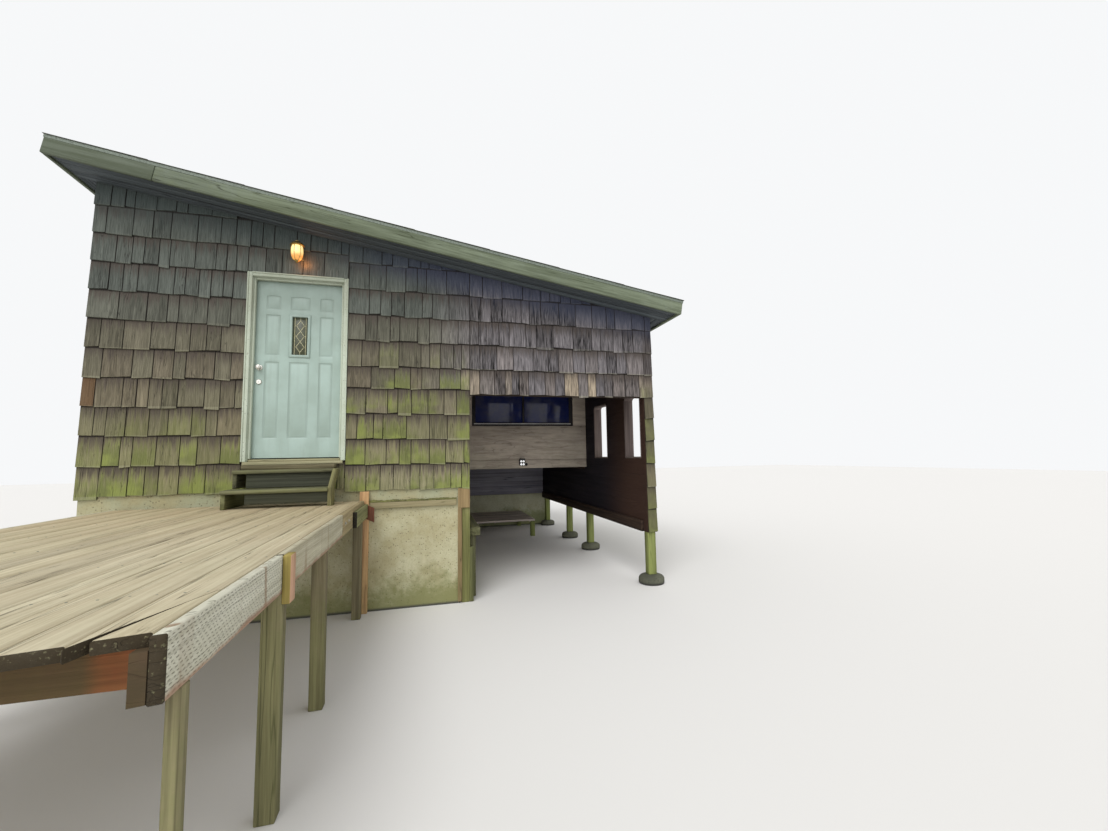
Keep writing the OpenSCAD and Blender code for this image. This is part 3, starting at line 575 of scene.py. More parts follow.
def concreteMaterial(name):
    look = concreteLook[name]
    material, coords = startMaterial(name)
    place = coords["Object"]
    _, y, z = place.xyz()
    clouds = useGroup(stainGroup, place, {"Size": 1.3})
    dark = darker(look["dirty"], 0.6)
    color = mix(z.ramp(1.10, 1.32), look["pale"], look["upper"])
    color = mix(clouds["Cloud"] * 0.9, color, look["dirty"])
    color = mix(clouds["Runs"] * 0.12, color, dark)
    # Coarse sand and open pits
    color = mix(place.noise(55.0, 4.0, 0.7).ramp(0.50, 0.70, 0.0, 0.45), color, dark)
    pit = place.spots(42.0, (0.12, 0.34), (0.62, 0.72))
    color = mix(pit * 0.75, color, darker(look["dirty"], 0.4))
    moss = useGroup(algaeGroup, place, {"Bottom": 0.1, "Top": look["mossTop"], "Amount": 0.8})["Mask"]
    color = mix(moss, color, look["moss"])
    # Bluer towards the back: the painted blue cast of the shade deep in the slip
    color = mix(y.ramp(1.0, 4.5), color, look["backShadeTint"], "MULTIPLY")
    wet = z.ramp(look["wetTop"], look["wetTop"] - 0.03)
    color = mix(wet, color, look["wet"])
    values = {"Base Color": color, "Roughness": wet.ramp(0.0, 1.0, 0.93, 0.5), "Specular IOR Level": 0.25}
    return closeMaterial(material, values, place.noise(38.0, 5.0, 0.7) - pit, 0.006, 0.8)


def paintMaterial(name, color, dirtAndShade, gloss, wear=0.0):
    material, coords = startMaterial(name)
    place = coords["Object"]
    clouds = useGroup(stainGroup, place, {"Size": 1.6})
    base = mix(clouds["Cloud"] * 0.35, color, dirtAndShade)
    base = mix(clouds["Runs"] * 0.3, base, dirtAndShade)
    # Darker in the pressed grooves
    base = mix(attributeOf(place.tree, "groove") * 0.25, base, darker(dirtAndShade, 0.55))
    # Darker towards the top: painted shade of the eave and the branches overhead
    base = mix(place.xyz()[2].ramp(2.8, 3.7, 0.0, 0.5), base, darker(dirtAndShade, 0.6))
    if wear > 0:
        chips = place.noise(42.0, 4.0, 0.75).ramp(0.60, 0.66)
        base = mix(chips * wear, base, (0.20, 0.18, 0.12))
    rough = clouds["Cloud"].ramp(0.0, 1.0, gloss, gloss + 0.2)
    values = {"Base Color": base, "Roughness": rough, "Specular IOR Level": 0.4}
    return closeMaterial(material, values, place.noise(160.0, 3.0, 0.6), 0.0006, 0.5)


def metalMaterial(name, color, roughness, metallic=1.0):
    material, coords = startMaterial(name)
    wear = coords["Object"].noise(55.0, 4.0, 0.7)
    base = mix(wear.ramp(0.45, 0.7), color, darker(color, 0.55))
    rough = wear.ramp(0.3, 0.7, roughness, roughness + 0.25)
    values = {"Base Color": base, "Roughness": rough, "Metallic": metallic}
    return closeMaterial(material, values, wear, 0.0004, 0.4)


def glassMaterial(name, color, clear, roughness):
    # Dark glazing: clear sets how much light comes through
    material, coords = startMaterial(name)
    dust = useGroup(stainGroup, coords["Object"], {"Size": 2.0})["Cloud"]
    base = mix(dust * 0.4, color, (0.10, 0.10, 0.09))
    rough = dust.ramp(0.0, 1.0, roughness, roughness + 0.15)
    return closeMaterial(material, {"Base Color": base, "Roughness": rough, "Transmission Weight": clear,
                                    "IOR": 1.45})


def glowMaterial(name, low, high, strength, levels):
    # Brighter towards its upper part
    material, coords = startMaterial(name)
    place = coords["Object"]
    ripple = (place.noise(60.0, 3.0, 0.6) - 0.5) * 0.6
    color = mix(place.xyz()[2].ramp(*levels).math("ADD", ripple, True), low, high)
    values = {"Base Color": color, "Emission Color": color, "Emission Strength": strength, "Roughness": 0.3}
    return closeMaterial(material, values)


def roofMaterial():
    material, coords = startMaterial("rolledRoofing")
    place = coords["Object"]
    clouds = useGroup(stainGroup, place, {"Size": 0.7})
    grit = place.noise(420.0, 2.0, 0.8)
    tone = attributeOf(place.tree, "tone")
    color = mix(grit.ramp(0.4, 0.6), (0.075, 0.077, 0.072), (0.20, 0.20, 0.185))
    color = mix(1.0, color, tone.ramp(0.0, 1.0, 0.8, 1.15), "MULTIPLY")
    color = mix(clouds["Cloud"] * 0.5, color, (0.10, 0.115, 0.06))
    moss = place.noise(3.4, 5.0, 0.7).ramp(0.58, 0.72)
    color = mix(moss * 0.8, color, (0.15, 0.18, 0.045))
    values = {"Base Color": color, "Roughness": 0.95, "Specular IOR Level": 0.2}
    return closeMaterial(material, values, grit + moss * 2.0, 0.003, 0.8)


# Measures of the building, read from its framing
leftLow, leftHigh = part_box("left_wall")
frontLow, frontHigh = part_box("front_wall_left")
rearLow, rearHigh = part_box("rear_wall")
waterLow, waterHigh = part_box("water_wall")
slipLow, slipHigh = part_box("front_wall_over_slip")
sideLow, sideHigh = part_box("side_shingles")
roofSlope = (leftHigh.z - waterHigh.z) / (waterLow.x - leftLow.x)
onRoof = Matrix.Translation((leftLow.x, 0, leftHigh.z)) @ Matrix.Rotation(math.atan(roofSlope), 4, "Y")
shingleFace = sideLow.y  # the plane of the front butts
dice = random.Random(29)


finish = {name: woodMaterial(name, *look, **more) for name, (look, more) in woodLooks.items()}
finish["shingles"] = shingleMaterial()
finish["concrete"] = concreteMaterial("mossyConcrete")
finish["pierConcrete"] = concreteMaterial("pierConcrete")
finish["doorPaint"] = paintMaterial("doorPaint", (0.345, 0.45, 0.405), (0.27, 0.335, 0.29), 0.38)
finish["trimPaint"] = paintMaterial("trimPaint", (0.53, 0.595, 0.495), (0.36, 0.39, 0.29), 0.55, 0.5)
finish["lampPaint"] = paintMaterial("lampPaint", (0.80, 0.80, 0.78), (0.5, 0.5, 0.46), 0.35)
finish["roofing"] = roofMaterial()
finish["dripMetal"] = metalMaterial("dripMetal", (0.17, 0.20, 0.165), 0.5, 0.2)
finish["windowMetal"] = metalMaterial("windowMetal", (0.035, 0.032, 0.034), 0.4, 0.6)
finish["steel"] = metalMaterial("satinSteel", (0.62, 0.60, 0.55), 0.32)
finish["brass"] = metalMaterial("agedBrass", (0.42, 0.31, 0.12), 0.35)
finish["caming"] = metalMaterial("brassCaming", (0.60, 0.57, 0.36), 0.45, 0.3)
# Blue, partly the painted blue cast of the shade in the slip
finish["windowGlass"] = glassMaterial("windowGlass", (0.018, 0.027, 0.125), 0.2, 0.06)
finish["doorGlass"] = glassMaterial("doorGlass", (0.075, 0.085, 0.045), 0.2, 0.25)
finish["amberGlow"] = glowMaterial("amberGlow", (0.60, 0.27, 0.06), (1.0, 0.76, 0.33), 0.75, (3.96, 4.04))
finish["lampGlow"] = glowMaterial("lampGlow", (0.90, 0.95, 1.0), (1.0, 1.0, 1.0), 0.6, (1.50, 1.60))
print("stage: materials")


def wallTop(x):
    return leftHigh.z - (x - leftLow.x) * roofSlope


def roofBox(node):
    # A node's corners with X down the slope and Z square to the roof
    back = onRoof.inverted()
    points = [back @ vertex.co for vertex in frame["nodes"][node].data.vertices]
    low = Vector([min(point[axis] for point in points) for axis in range(3)])
    high = Vector([max(point[axis] for point in points) for axis in range(3)])
    return low, high


def addBox(name, low, high):
    deselectAll()
    low, high = Vector(low), Vector(high)
    bpy.ops.mesh.primitive_cube_add(size=1, location=(low + high) / 2)
    piece = bpy.context.object
    piece.name = name
    piece.scale = high - low
    bpy.ops.object.transform_apply(location=True, rotation=True, scale=True)
    return piece


def pickParts(piece, kind, test):
    # Leaves the piece in edit mode with only the faces or edges that pass selected
    useOnly(piece)
    bpy.context.tool_settings.mesh_select_mode = (False, kind == "edges", kind == "faces")
    bpy.ops.object.mode_set(mode="EDIT")
    bpy.ops.mesh.select_all(action="DESELECT")
    bpy.ops.object.mode_set(mode="OBJECT")
    parts = piece.data.polygons if kind == "faces" else piece.data.edges
    for part in parts:
        part.select = test(part)
    bpy.ops.object.mode_set(mode="EDIT")


def cutAcross(places, normal):
    # In edit mode: cuts the whole piece at each place
    for place in places:
        bpy.ops.mesh.select_all(action="SELECT")
        bpy.ops.mesh.bisect(plane_co=place, plane_no=normal)


def easeEdges(piece, width, segments=1):
    useOnly(piece)
    bevel = piece.modifiers.new("easedEdges", "BEVEL")
    bevel.width = width
    bevel.segments = segments
    bevel.limit_method = "ANGLE"
    bpy.ops.object.modifier_apply(modifier="easedEdges")


def stampGrain(piece, along="X", tone=0.5, shift=0.0):
    # Coordinates along the grain, kept on the piece
    order = {"X": (0, 1, 2), "Y": (1, 0, 2), "Z": (2, 0, 1)}[along]
    grain = []
    for vertex in piece.data.vertices:
        grain.extend((vertex.co[order[0]] + shift, vertex.co[order[1]], vertex.co[order[2]]))
    mesh = piece.data
    for label, kind in (("grain", "FLOAT_VECTOR"), ("tone", "FLOAT")):
        if label not in mesh.attributes:
            mesh.attributes.new(label, kind, "POINT")
    mesh.attributes["grain"].data.foreach_set("vector", grain)
    mesh.attributes["tone"].data.foreach_set("value", [tone] * len(mesh.vertices))


def paint(piece, look):
    piece.data.materials.clear()
    piece.data.materials.append(finish[look])
    return piece


def joinPieces(name, pieces):
    deselectAll()
    for piece in pieces:
        piece.select_set(True)
    bpy.context.view_layer.objects.active = pieces[0]
    if len(pieces) > 1:
        bpy.ops.object.join()
    piece = bpy.context.object
    piece.name = name
    piece.data.name = name
    return piece


def settle(piece, body, slot, *nodes, angle=50):
    # Shades the piece, hangs it from the empty of its body and hides the nodes it stands for
    useOnly(piece)
    bpy.ops.object.shade_smooth_by_angle(angle=math.radians(angle))
    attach(piece, body)
    if nodes:
        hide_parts(*nodes)
    return piece


# One board, a metre each way, that every board, post and sheet is copied from
boardSetup = {"cuts": 6, "endCut": 0.491, "bevel": 0.004, "warp": 0.0012}


def modelBoard():
    piece = addBox("boardPattern", (-0.5, -0.5, -0.5), (0.5, 0.5, 0.5))
    bpy.ops.object.mode_set(mode="EDIT")
    count = boardSetup["cuts"] + 1
    end = boardSetup["endCut"]
    cutAcross([(step / count - 0.5, 0, 0) for step in range(1, count)] + [(-end, 0, 0), (end, 0, 0)],
              (1, 0, 0))
    bpy.ops.object.mode_set(mode="OBJECT")
    easeEdges(piece, boardSetup["bevel"])
    stampGrain(piece)
    ends = piece.data.attributes.new("ends", "FLOAT", "POINT")
    ends.data.foreach_set("value", [float(abs(vertex.co.x) > 0.494) for vertex in piece.data.vertices])
    bpy.context.scene.collection.objects.unlink(piece)
    return piece


patternBoard = modelBoard()
boardTurns = {
    "X": Matrix.Identity(3),
    "Y": Matrix.Rotation(math.radians(90), 3, "Z"),
    "Z": Matrix.Rotation(math.radians(-90), 3, "Y"),
}


def fitted(part, size):
    # Keeps the eased edge its own size while the board is stretched
    edge = 0.5 - abs(part)
    if edge < 0.05:
        return math.copysign(size / 2 - min(edge, size * 0.35), part)
    return part * size


def layBoard(low, high, look, along="X", tone=None, warp=None, shape=None, turn=None):
    # A copy of the pattern between two corners; shape moves each point, turn places the whole board
    low, high = Vector(low), Vector(high)
    size, middle = high - low, (low + high) / 2
    order = {"X": (0, 1, 2), "Y": (1, 0, 2), "Z": (2, 1, 0)}[along]
    piece = patternBoard.copy()
    piece.data = patternBoard.data.copy()
    bpy.context.scene.collection.objects.link(piece)
    shift = dice.uniform(0, 20)
    tone = dice.random() if tone is None else tone
    warp = boardSetup["warp"] if warp is None else warp
    grain = []
    for vertex in piece.data.vertices:
        local = Vector([fitted(vertex.co[axis], size[order[axis]]) for axis in range(3)])
        grain.extend((local.x + shift, local.y, local.z))
        sway = Vector((0, noise.noise((local.x * 1.3, shift, 0)),
                       noise.noise((local.x * 1.3, shift, 7)))) * warp
        place = middle + boardTurns[along] @ (local + sway)
        if shape:
            place = shape(place)
        vertex.co = turn @ place if turn else place
    piece.data.attributes["grain"].data.foreach_set("vector", grain)
    piece.data.attributes["tone"].data.foreach_set("value", [tone] * len(piece.data.vertices))
    return paint(piece, look)


def layBar(start, end, width, depth, look, side=(0, 1, 0)):
    # A bar from one point to another; side is the direction its depth faces
    start, end = Vector(start), Vector(end)
    length = (end - start).length
    ahead = (end - start).normalized()
    across = Vector(side).cross(ahead).normalized()
    turn = Matrix((ahead, across.cross(ahead).normalized() * -1, across)).transposed().to_4x4()
    turn = Matrix.Translation((start + end) / 2) @ turn
    if turn.to_3x3().determinant() < 0:
        turn = turn @ Matrix.Diagonal((1, -1, 1, 1))
    return layBoard((-length / 2, -depth / 2, -width / 2), (length / 2, depth / 2, width / 2), look,
                    turn=turn)


def solidBoxes(node):
    # The corners of each separate solid in a node, from a merged copy of its mesh
    copy = frame["nodes"][node].copy()
    copy.data = copy.data.copy()
    copy.parent = None
    bpy.context.scene.collection.objects.link(copy)
    useOnly(copy)
    bpy.ops.object.mode_set(mode="EDIT")
    bpy.ops.mesh.select_all(action="SELECT")
    bpy.ops.mesh.remove_doubles(threshold=0.0001)
    bpy.ops.mesh.separate(type="LOOSE")
    bpy.ops.object.mode_set(mode="OBJECT")
    boxes = []
    for part in list(bpy.context.selected_objects):
        points = [vertex.co for vertex in part.data.vertices]
        low = Vector([min(point[axis] for point in points) for axis in range(3)])
        high = Vector([max(point[axis] for point in points) for axis in range(3)])
        boxes.append((low, high))
        bpy.data.objects.remove(part)
    return sorted(boxes, key=lambda box: tuple(round(value, 3) for value in box[0]))


def turnedPart(name, rings, look, place=(0, 0, 0), facing=None, segments=32):
    # A round part drawn up ring by ring along Z, each ring a radius and a height, then turned to its facing
    deselectAll()
    radius, height = rings[0]
    bpy.ops.mesh.primitive_circle_add(vertices=segments, radius=radius, fill_type="NGON",
                                      location=(0, 0, height))
    piece = bpy.context.object
    bpy.ops.object.transform_apply(location=True)
    pickParts(piece, "faces", lambda face: True)
    bpy.ops.mesh.flip_normals()
    for nextRadius, nextHeight in rings[1:]:
        bpy.ops.mesh.extrude_region_move(TRANSFORM_OT_translate={"value": (0, 0, nextHeight - height)})
        grow = nextRadius / radius
        bpy.ops.transform.resize(value=(grow, grow, 1), center_override=(0, 0, nextHeight))
        radius, height = nextRadius, nextHeight
    bpy.ops.mesh.select_all(action="SELECT")
    bpy.ops.mesh.normals_make_consistent(inside=False)
    bpy.ops.object.mode_set(mode="OBJECT")
    turn = facing.to_track_quat("Z", "Y").to_matrix().to_4x4() if facing else Matrix.Identity(4)
    piece.data.transform(Matrix.Translation(place) @ turn)
    piece.name = name
    stampGrain(piece, "Z")
    return paint(piece, look)


def ringFrame(name, low, high, border, look, axis=1, ease=0.002):
    # A frame of one thickness: inset the two faces and join their edges through the piece
    piece = addBox(name, low, high)
    pickParts(piece, "faces", lambda face: abs(face.normal[axis]) > 0.9)
    bpy.ops.mesh.inset(thickness=border, use_individual=True)
    bpy.ops.mesh.bridge_edge_loops()
    bpy.ops.object.mode_set(mode="OBJECT")
    easeEdges(piece, ease)
    stampGrain(piece)
    return paint(piece, look)


# Shingles
shingleSetup = {
    "widths": (0.10, 0.27),
    "gap": 0.005,
    "buttShift": 0.009,
    "slipped": (0.12, 0.020),  # share of the shingles that hang lower, and by how much
    "slant": 0.007,
    "lap": 0.022,
    "baseWidth": 0.16,
    "baseHeight": 0.32,
    "butt": 0.030,
    "underside": 0.009,
    "topShare": 0.27,
    "ease": 0.0025,
    "leftStart": 1.370,
    "leftStep": 0.3025,
    "bayStart": 1.338,
    "bayStep": 0.2955,
    "bayCourses": 5,
    "upperStart": 2.777,
    "upperStep": 0.3075,
    "sideStep": 0.303,
    "changeAt": -0.70,  # the courses change their level at the right door casing
    "rustyAt": (-3.11, 2.42),
}


def modelShingle():
    look = shingleSetup
    half, height = look["baseWidth"] / 2, look["baseHeight"]
    piece = addBox("shinglePattern", (-half, -look["butt"], 0), (half, -look["underside"], height))
    pickParts(piece, "faces", lambda face: face.normal.z > 0.9)
    bpy.ops.transform.resize(value=(1, look["topShare"], 1), center_override=(0, 0, height))
    cutAcross([(half * share, 0, 0) for share in (-0.5, 0, 0.5)], (1, 0, 0))
    cutAcross([(0, 0, height * 0.45)], (0, 0, 1))
    bpy.ops.object.mode_set(mode="OBJECT")

    def frontOutline(edge):
        ends = [piece.data.vertices[index].co for index in edge.vertices]
        atButt = all(end.z < 0.001 and end.y < -look["butt"] + 0.001 for end in ends)
        atSide = all(abs(abs(end.x) - half) < 0.001 for end in ends)
        outside = ends[0].y * ends[1].y > 0 and abs(ends[0].z - ends[1].z) > 0.01
        inFront = all(end.y < -look["underside"] * (1 - end.z / height) - 0.005 for end in ends)
        return atButt or (atSide and outside and inFront)

    pickParts(piece, "edges", frontOutline)
    bpy.ops.mesh.bevel(offset=look["ease"], segments=1)
    bpy.ops.object.mode_set(mode="OBJECT")
    stampGrain(piece)
    piece.data.attributes.new("rise", "FLOAT", "POINT")
    piece.data.attributes.new("rim", "FLOAT", "POINT")
    bpy.context.scene.collection.objects.unlink(piece)
    return piece


patternShingle = modelShingle()
print("stage: patterns, a shingle has", len(patternShingle.data.polygons), "faces")


def layShingle(left, right, low, high, butt, nextButt, turn, topAt):
    look = shingleSetup
    half, height = look["baseWidth"] / 2, look["baseHeight"]
    piece = patternShingle.copy()
    piece.data = patternShingle.data.copy()
    bpy.context.scene.collection.objects.link(piece)
    middle, width = (left + right) / 2, right - left - look["gap"]
    slant, cup = dice.uniform(-1, 1) * look["slant"], dice.uniform(-0.003, 0.002)
    thick, tone, shift = dice.uniform(0.74, 1.0), dice.uniform(0, 0.95), dice.uniform(0, 30)
    share, drop = look["slipped"]
    low += dice.uniform(-1, 1) * look["buttShift"] - (drop if dice.random() < share else 0)
    tall = high - low + look["lap"]
    grain, rise, rim = [], [], []
    for vertex in piece.data.vertices:
        x, y, z = vertex.co
        side, up = x / half, z / height
        inner = half - abs(x)
        x = middle + (math.copysign(width / 2 - inner, x) if inner < 0.01 else side * width / 2)
        z = low + (z if z < 0.01 else up * tall) + slant * side * (1 - up)
        y = y * (thick if y < -look["underside"] else 1) + cup * (side * side - 0.4) * (1 - up)
        z = min(z, topAt(x))
        grain.extend((z + shift, x, y))
        rise.append((z - butt) / (nextButt - butt))
        rim.append(width / 2 - abs(x - middle))
        vertex.co = turn @ Vector((x, y, z))
    mesh = piece.data
    mesh.attributes["grain"].data.foreach_set("vector", grain)
    mesh.attributes["rise"].data.foreach_set("value", rise)
    mesh.attributes["rim"].data.foreach_set("value", rim)
    mesh.attributes["tone"].data.foreach_set("value", [tone] * len(mesh.vertices))
    return paint(piece, "shingles")


def coverSpan(left, right, butts, holes, turn, topAt):
    # One stretch of wall, course by course, leaving out the holes
    pieces = []
    for butt, nextButt in zip(butts, butts[1:]):
        runs = [(left, right, butt, nextButt)]
        for holeLeft, holeRight, holeLow, holeHigh in holes:
            if butt >= holeHigh or nextButt <= holeLow:
                continue
            cut = []
            for a, b, low, high in runs:
                if b <= holeLeft or a >= holeRight:
                    cut.append((a, b, low, high))
                    continue
                cut += [(a, holeLeft, low, high)] if a < holeLeft else []
                cut += [(holeRight, b, low, high)] if b > holeRight else []
                cut += [(max(a, holeLeft), min(b, holeRight), low, holeLow)] if low < holeLow else []
                cut += [(max(a, holeLeft), min(b, holeRight), holeHigh, high)] if high > holeHigh else []
            runs = cut
        for a, b, low, high in runs:
            at = a
            while at < b - 0.01:
                end = at + dice.uniform(*shingleSetup["widths"]) * dice.choice((0.8, 1.0, 1.0))
                if b - end < 0.07:
                    end = b
                if low < min(topAt(at), topAt(end)) - 0.015:
                    pieces.append(layShingle(at, end, low, high, butt, nextButt, turn, topAt))
                at = end
    return pieces


def levels(start, step, top):
    count = math.ceil((top - start) / step)
    return [start + step * index for index in range(count + 1)]


def makeFrontShingles():
    look = shingleSetup
    turn = Matrix.Translation((0, frontLow.y, 0))
    frameLow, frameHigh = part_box("door_frame")
    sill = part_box("door_sill")[0]
    door = (frameLow.x, frameHigh.x, sill.z, frameHigh.z + 0.002)
    top = leftHigh.z

    def topAt(x):
        return wallTop(x) - 0.004

    upper = levels(look["upperStart"], look["upperStep"], top)
    bay = [look["bayStart"] + look["bayStep"] * index for index in range(look["bayCourses"])] + upper
    header = [slipLow.z] + upper
    column = levels(waterLow.z, look["sideStep"], slipLow.z - 0.1)
    pieces = coverSpan(sideLow.x + 0.003, look["changeAt"],
                       levels(look["leftStart"], look["leftStep"], top), [door],
                       turn, topAt)
    pieces += coverSpan(look["changeAt"], slipLow.x, bay, [door], turn, topAt)
    pieces += coverSpan(slipLow.x, sideHigh.x - 0.003, header, [], turn, topAt)
    pieces += coverSpan(waterLow.x + 0.002, sideHigh.x - 0.003, column[:-1] + [slipLow.z], [], turn, topAt)
    # One shingle near the left corner is rusty brown
    x, z = look["rustyAt"]
    for piece in pieces:
        points = [vertex.co for vertex in piece.data.vertices]
        inside = min(point.x for point in points) < x < max(point.x for point in points)
        if inside and min(point.z for point in points) < z < max(point.z for point in points):
            piece.data.attributes["tone"].data.foreach_set("value", [0.99] * len(points))
    return settle(joinPieces("frontShingles", pieces), "building", "shingles", "front_shingles", angle=30)


def makeSideShingles():
    look = shingleSetup
    start = frontLow.y + 0.002
    end = rearHigh.y - 0.002
    high = Matrix.Translation((leftLow.x, 0, 0)) @ Matrix.Rotation(math.radians(-90), 4, "Z")
    pieces = coverSpan(-end, -start, levels(look["leftStart"], look["leftStep"], leftHigh.z), [], high,
                       lambda along: leftHigh.z - 0.004)
    water = Matrix.Translation((waterHigh.x, 0, 0)) @ Matrix.Rotation(math.radians(90), 4, "Z")
    holes = [(near, far, openingSetup["low"], openingSetup["high"]) for near, far in openingSetup["places"]]
    lowTop = wallTop(sideHigh.x) - 0.004
    pieces += coverSpan(start, end, levels(waterLow.z, look["sideStep"], lowTop), holes, water,
                        lambda along: lowTop)
    return settle(joinPieces("sideShingles", pieces), "building", "shingles", "side_shingles", angle=30)


def makeRearShingles():
    look = shingleSetup
    turn = Matrix.Translation((0, rearHigh.y, 0)) @ Matrix.Rotation(math.radians(180), 4, "Z")
    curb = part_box("rear_shingles")[0].z

    def topAt(along):
        return wallTop(-along) - 0.004

    pieces = coverSpan(-slipLow.x, -sideLow.x - 0.003, levels(look["bayStart"], look["sideStep"],
                                                              leftHigh.z), [],
                       turn, topAt)
    pieces += coverSpan(-sideHigh.x + 0.003, -slipLow.x, levels(curb, look["sideStep"], leftHigh.z), [],
                        turn, topAt)
    return settle(joinPieces("rearShingles", pieces), "building", "shingles", "rear_shingles", angle=30)


# Openings of the water-side wall, above the water level
openingSetup = {
    "places": [(frontHigh.y + 0.010, frontHigh.y + 0.550), (frontHigh.y + 1.240, frontHigh.y + 1.850)],
    "low": 1.645,
    "high": 2.545,
    "clip": 0.050,
    "lining": 0.020,
    "proud": 0.004,
}

makeFrontShingles()
makeSideShingles()
makeRearShingles()
print("stage: shingles")


def makeOpeningLinings():
    look = openingSetup
    pieces = []
    inner, outer = waterLow.x - look["proud"], sideHigh.x - 0.006
    t, clip = look["lining"], look["clip"]
    for near, far in look["places"]:
        low, high = look["low"], look["high"]
        pieces.append(layBoard((inner, near, low), (outer, near + t, high - clip), "jambWood", "Z"))
        pieces.append(layBoard((inner, far - t, low), (outer, far, high - clip), "jambWood", "Z"))
        pieces.append(layBoard((inner, near + t, low), (outer, far - t, low + t), "jambWood", "Y"))
        pieces.append(layBoard((inner, near + clip, high - t), (outer, far - clip, high), "jambWood", "Y"))
        for edge, way in ((near, 1), (far, -1)):
            start = ((inner + outer) / 2, edge + way * t * 0.4, high - clip - t * 0.2)
            end = ((inner + outer) / 2, edge + way * (clip + t * 0.2), high - t * 0.4)
            pieces.append(layBar(start, end, outer - inner, t * 0.8, "jambWood", side=(0, way, -1)))
    return settle(joinPieces("openingLinings", pieces), "building", "siding")


# Roof: rolled roofing in laps, fascia boards with a drip strip, soffit boards
roofSetup = {
    "rolls": 8,
    "lap": 0.10,
    "sheet": 0.004,
    "joint": -2.465,  # place of the butt joint of the front fascia
    "jointGap": 0.004,
    "drip": 0.032,
    "dripThickness": 0.004,
    "soffitBoards": 3,
    "soffitGap": 0.004,
}


def makeRoofing():
    look = roofSetup
    low, high = roofBox("roofing")
    step = (high.x - low.x) / look["rolls"]
    pieces = []
    for index in range(look["rolls"]):
        start = max(low.x, low.x + step * index - look["lap"])
        end = low.x + step * (index + 1)

        def lift(place, start=start, end=end):
            share = (place.x - start) / (end - start)
            ripple = noise.noise((place.x * 3, place.y * 0.9, 0)) * 0.0012
            return place + Vector((0, 0, look["sheet"] * 1.3 * share + ripple))

        bottom = low.z + 0.0015
        pieces.append(layBoard((start, low.y, bottom), (end, high.y, bottom + look["sheet"]), "roofing", "Y",
                               shape=lift, turn=onRoof, warp=0))
    return settle(joinPieces("rolledRoofing", pieces), "building", "roofing", "roofing")


def makeFascia():
    look = roofSetup
    low, high = roofBox("fascia")
    t = low.y - roofBox("roof_deck")[0].y
    thick = abs(t)
    joint = (look["joint"] - leftLow.x) / math.cos(math.atan(roofSlope))
    pieces = []
    for near, far, split in ((low.y, low.y + thick, joint), (high.y - thick, high.y, joint + 2.2)):
        for start, end in ((low.x, split - look["jointGap"] / 2), (split + look["jointGap"] / 2, high.x)):
            pieces.append(layBoard((start, near, low.z), (end, far, high.z), "fascia", "X", turn=onRoof,
                                   warp=0.003))
    for left, right in ((low.x, low.x + thick), (high.x - thick, high.x)):
        pieces.append(layBoard((left, low.y + thick, low.z), (right, high.y - thick, high.z), "fascia", "Y",
                               turn=onRoof, warp=0.003))
    # Drip strips along the top of the boards
    d, bottom, top = look["dripThickness"], high.z - look["drip"], high.z + 0.002
    strips = (
        ((low.x - d, low.y - d, bottom), (high.x + d, low.y, top), "X"),
        ((low.x - d, high.y, bottom), (high.x + d, high.y + d, top), "X"),
        ((low.x - d, low.y, bottom), (low.x, high.y, top), "Y"),
        ((high.x, low.y, bottom), (high.x + d, high.y, top), "Y"),
    )
    for start, end, along in strips:
        pieces.append(layBoard(start, end, "dripMetal", along, turn=onRoof, warp=0.001))
    return settle(joinPieces("fasciaBoards", pieces), "building", "fascia", "fascia")


def makeSoffit():
    look = roofSetup
    low, high = roofBox("soffit")
    cos = math.cos(math.atan(roofSlope))
    wallRight = (waterHigh.x - leftLow.x) / cos
    count, gap = look["soffitBoards"], look["soffitGap"]
    pieces = []
    for near, far in ((low.y, frontLow.y), (rearHigh.y, high.y)):
        step = (far - near) / count
        for index in range(count):
            start = near + step * index
            pieces.append(layBoard((low.x, start, low.z), (high.x, start + step - gap, high.z),
                                   "soffitBoards", "X",
                                   turn=onRoof, warp=0.001))
    for left, right in ((low.x, 0.0), (wallRight, high.x)):
        step = (right - left) / 2
        for index in range(2):
            start = left + step * index
            pieces.append(layBoard((start, frontLow.y, low.z), (start + step - gap, rearHigh.y, high.z),
                                   "soffitBoards", "Y", turn=onRoof, warp=0.001))
    return settle(joinPieces("soffitBoards", pieces), "building", "soffit", "soffit")


makeOpeningLinings()
makeRoofing()
makeFascia()
makeSoffit()
print("stage: openings and roof")


# Door: a pressed leaf with nine fields, the middle one glazed
doorSetup = {
    "columns": ((-0.276, 0.150), (0.0, 0.210), (0.276, 0.150)),
    "rows": ((0.215, 1.080), (1.150, 1.620), (1.680, 1.835)),
    "slope": 0.007,
    "floor": 0.010,
    "depth": 0.006,
    "rise": 0.012,
    "arch": 0.010,
    "holeInset": 0.012,
    "ring": 0.030,
    "ringProud": 0.012,
    "caming": 0.0075,
    "camingProud": 0.0025,
}


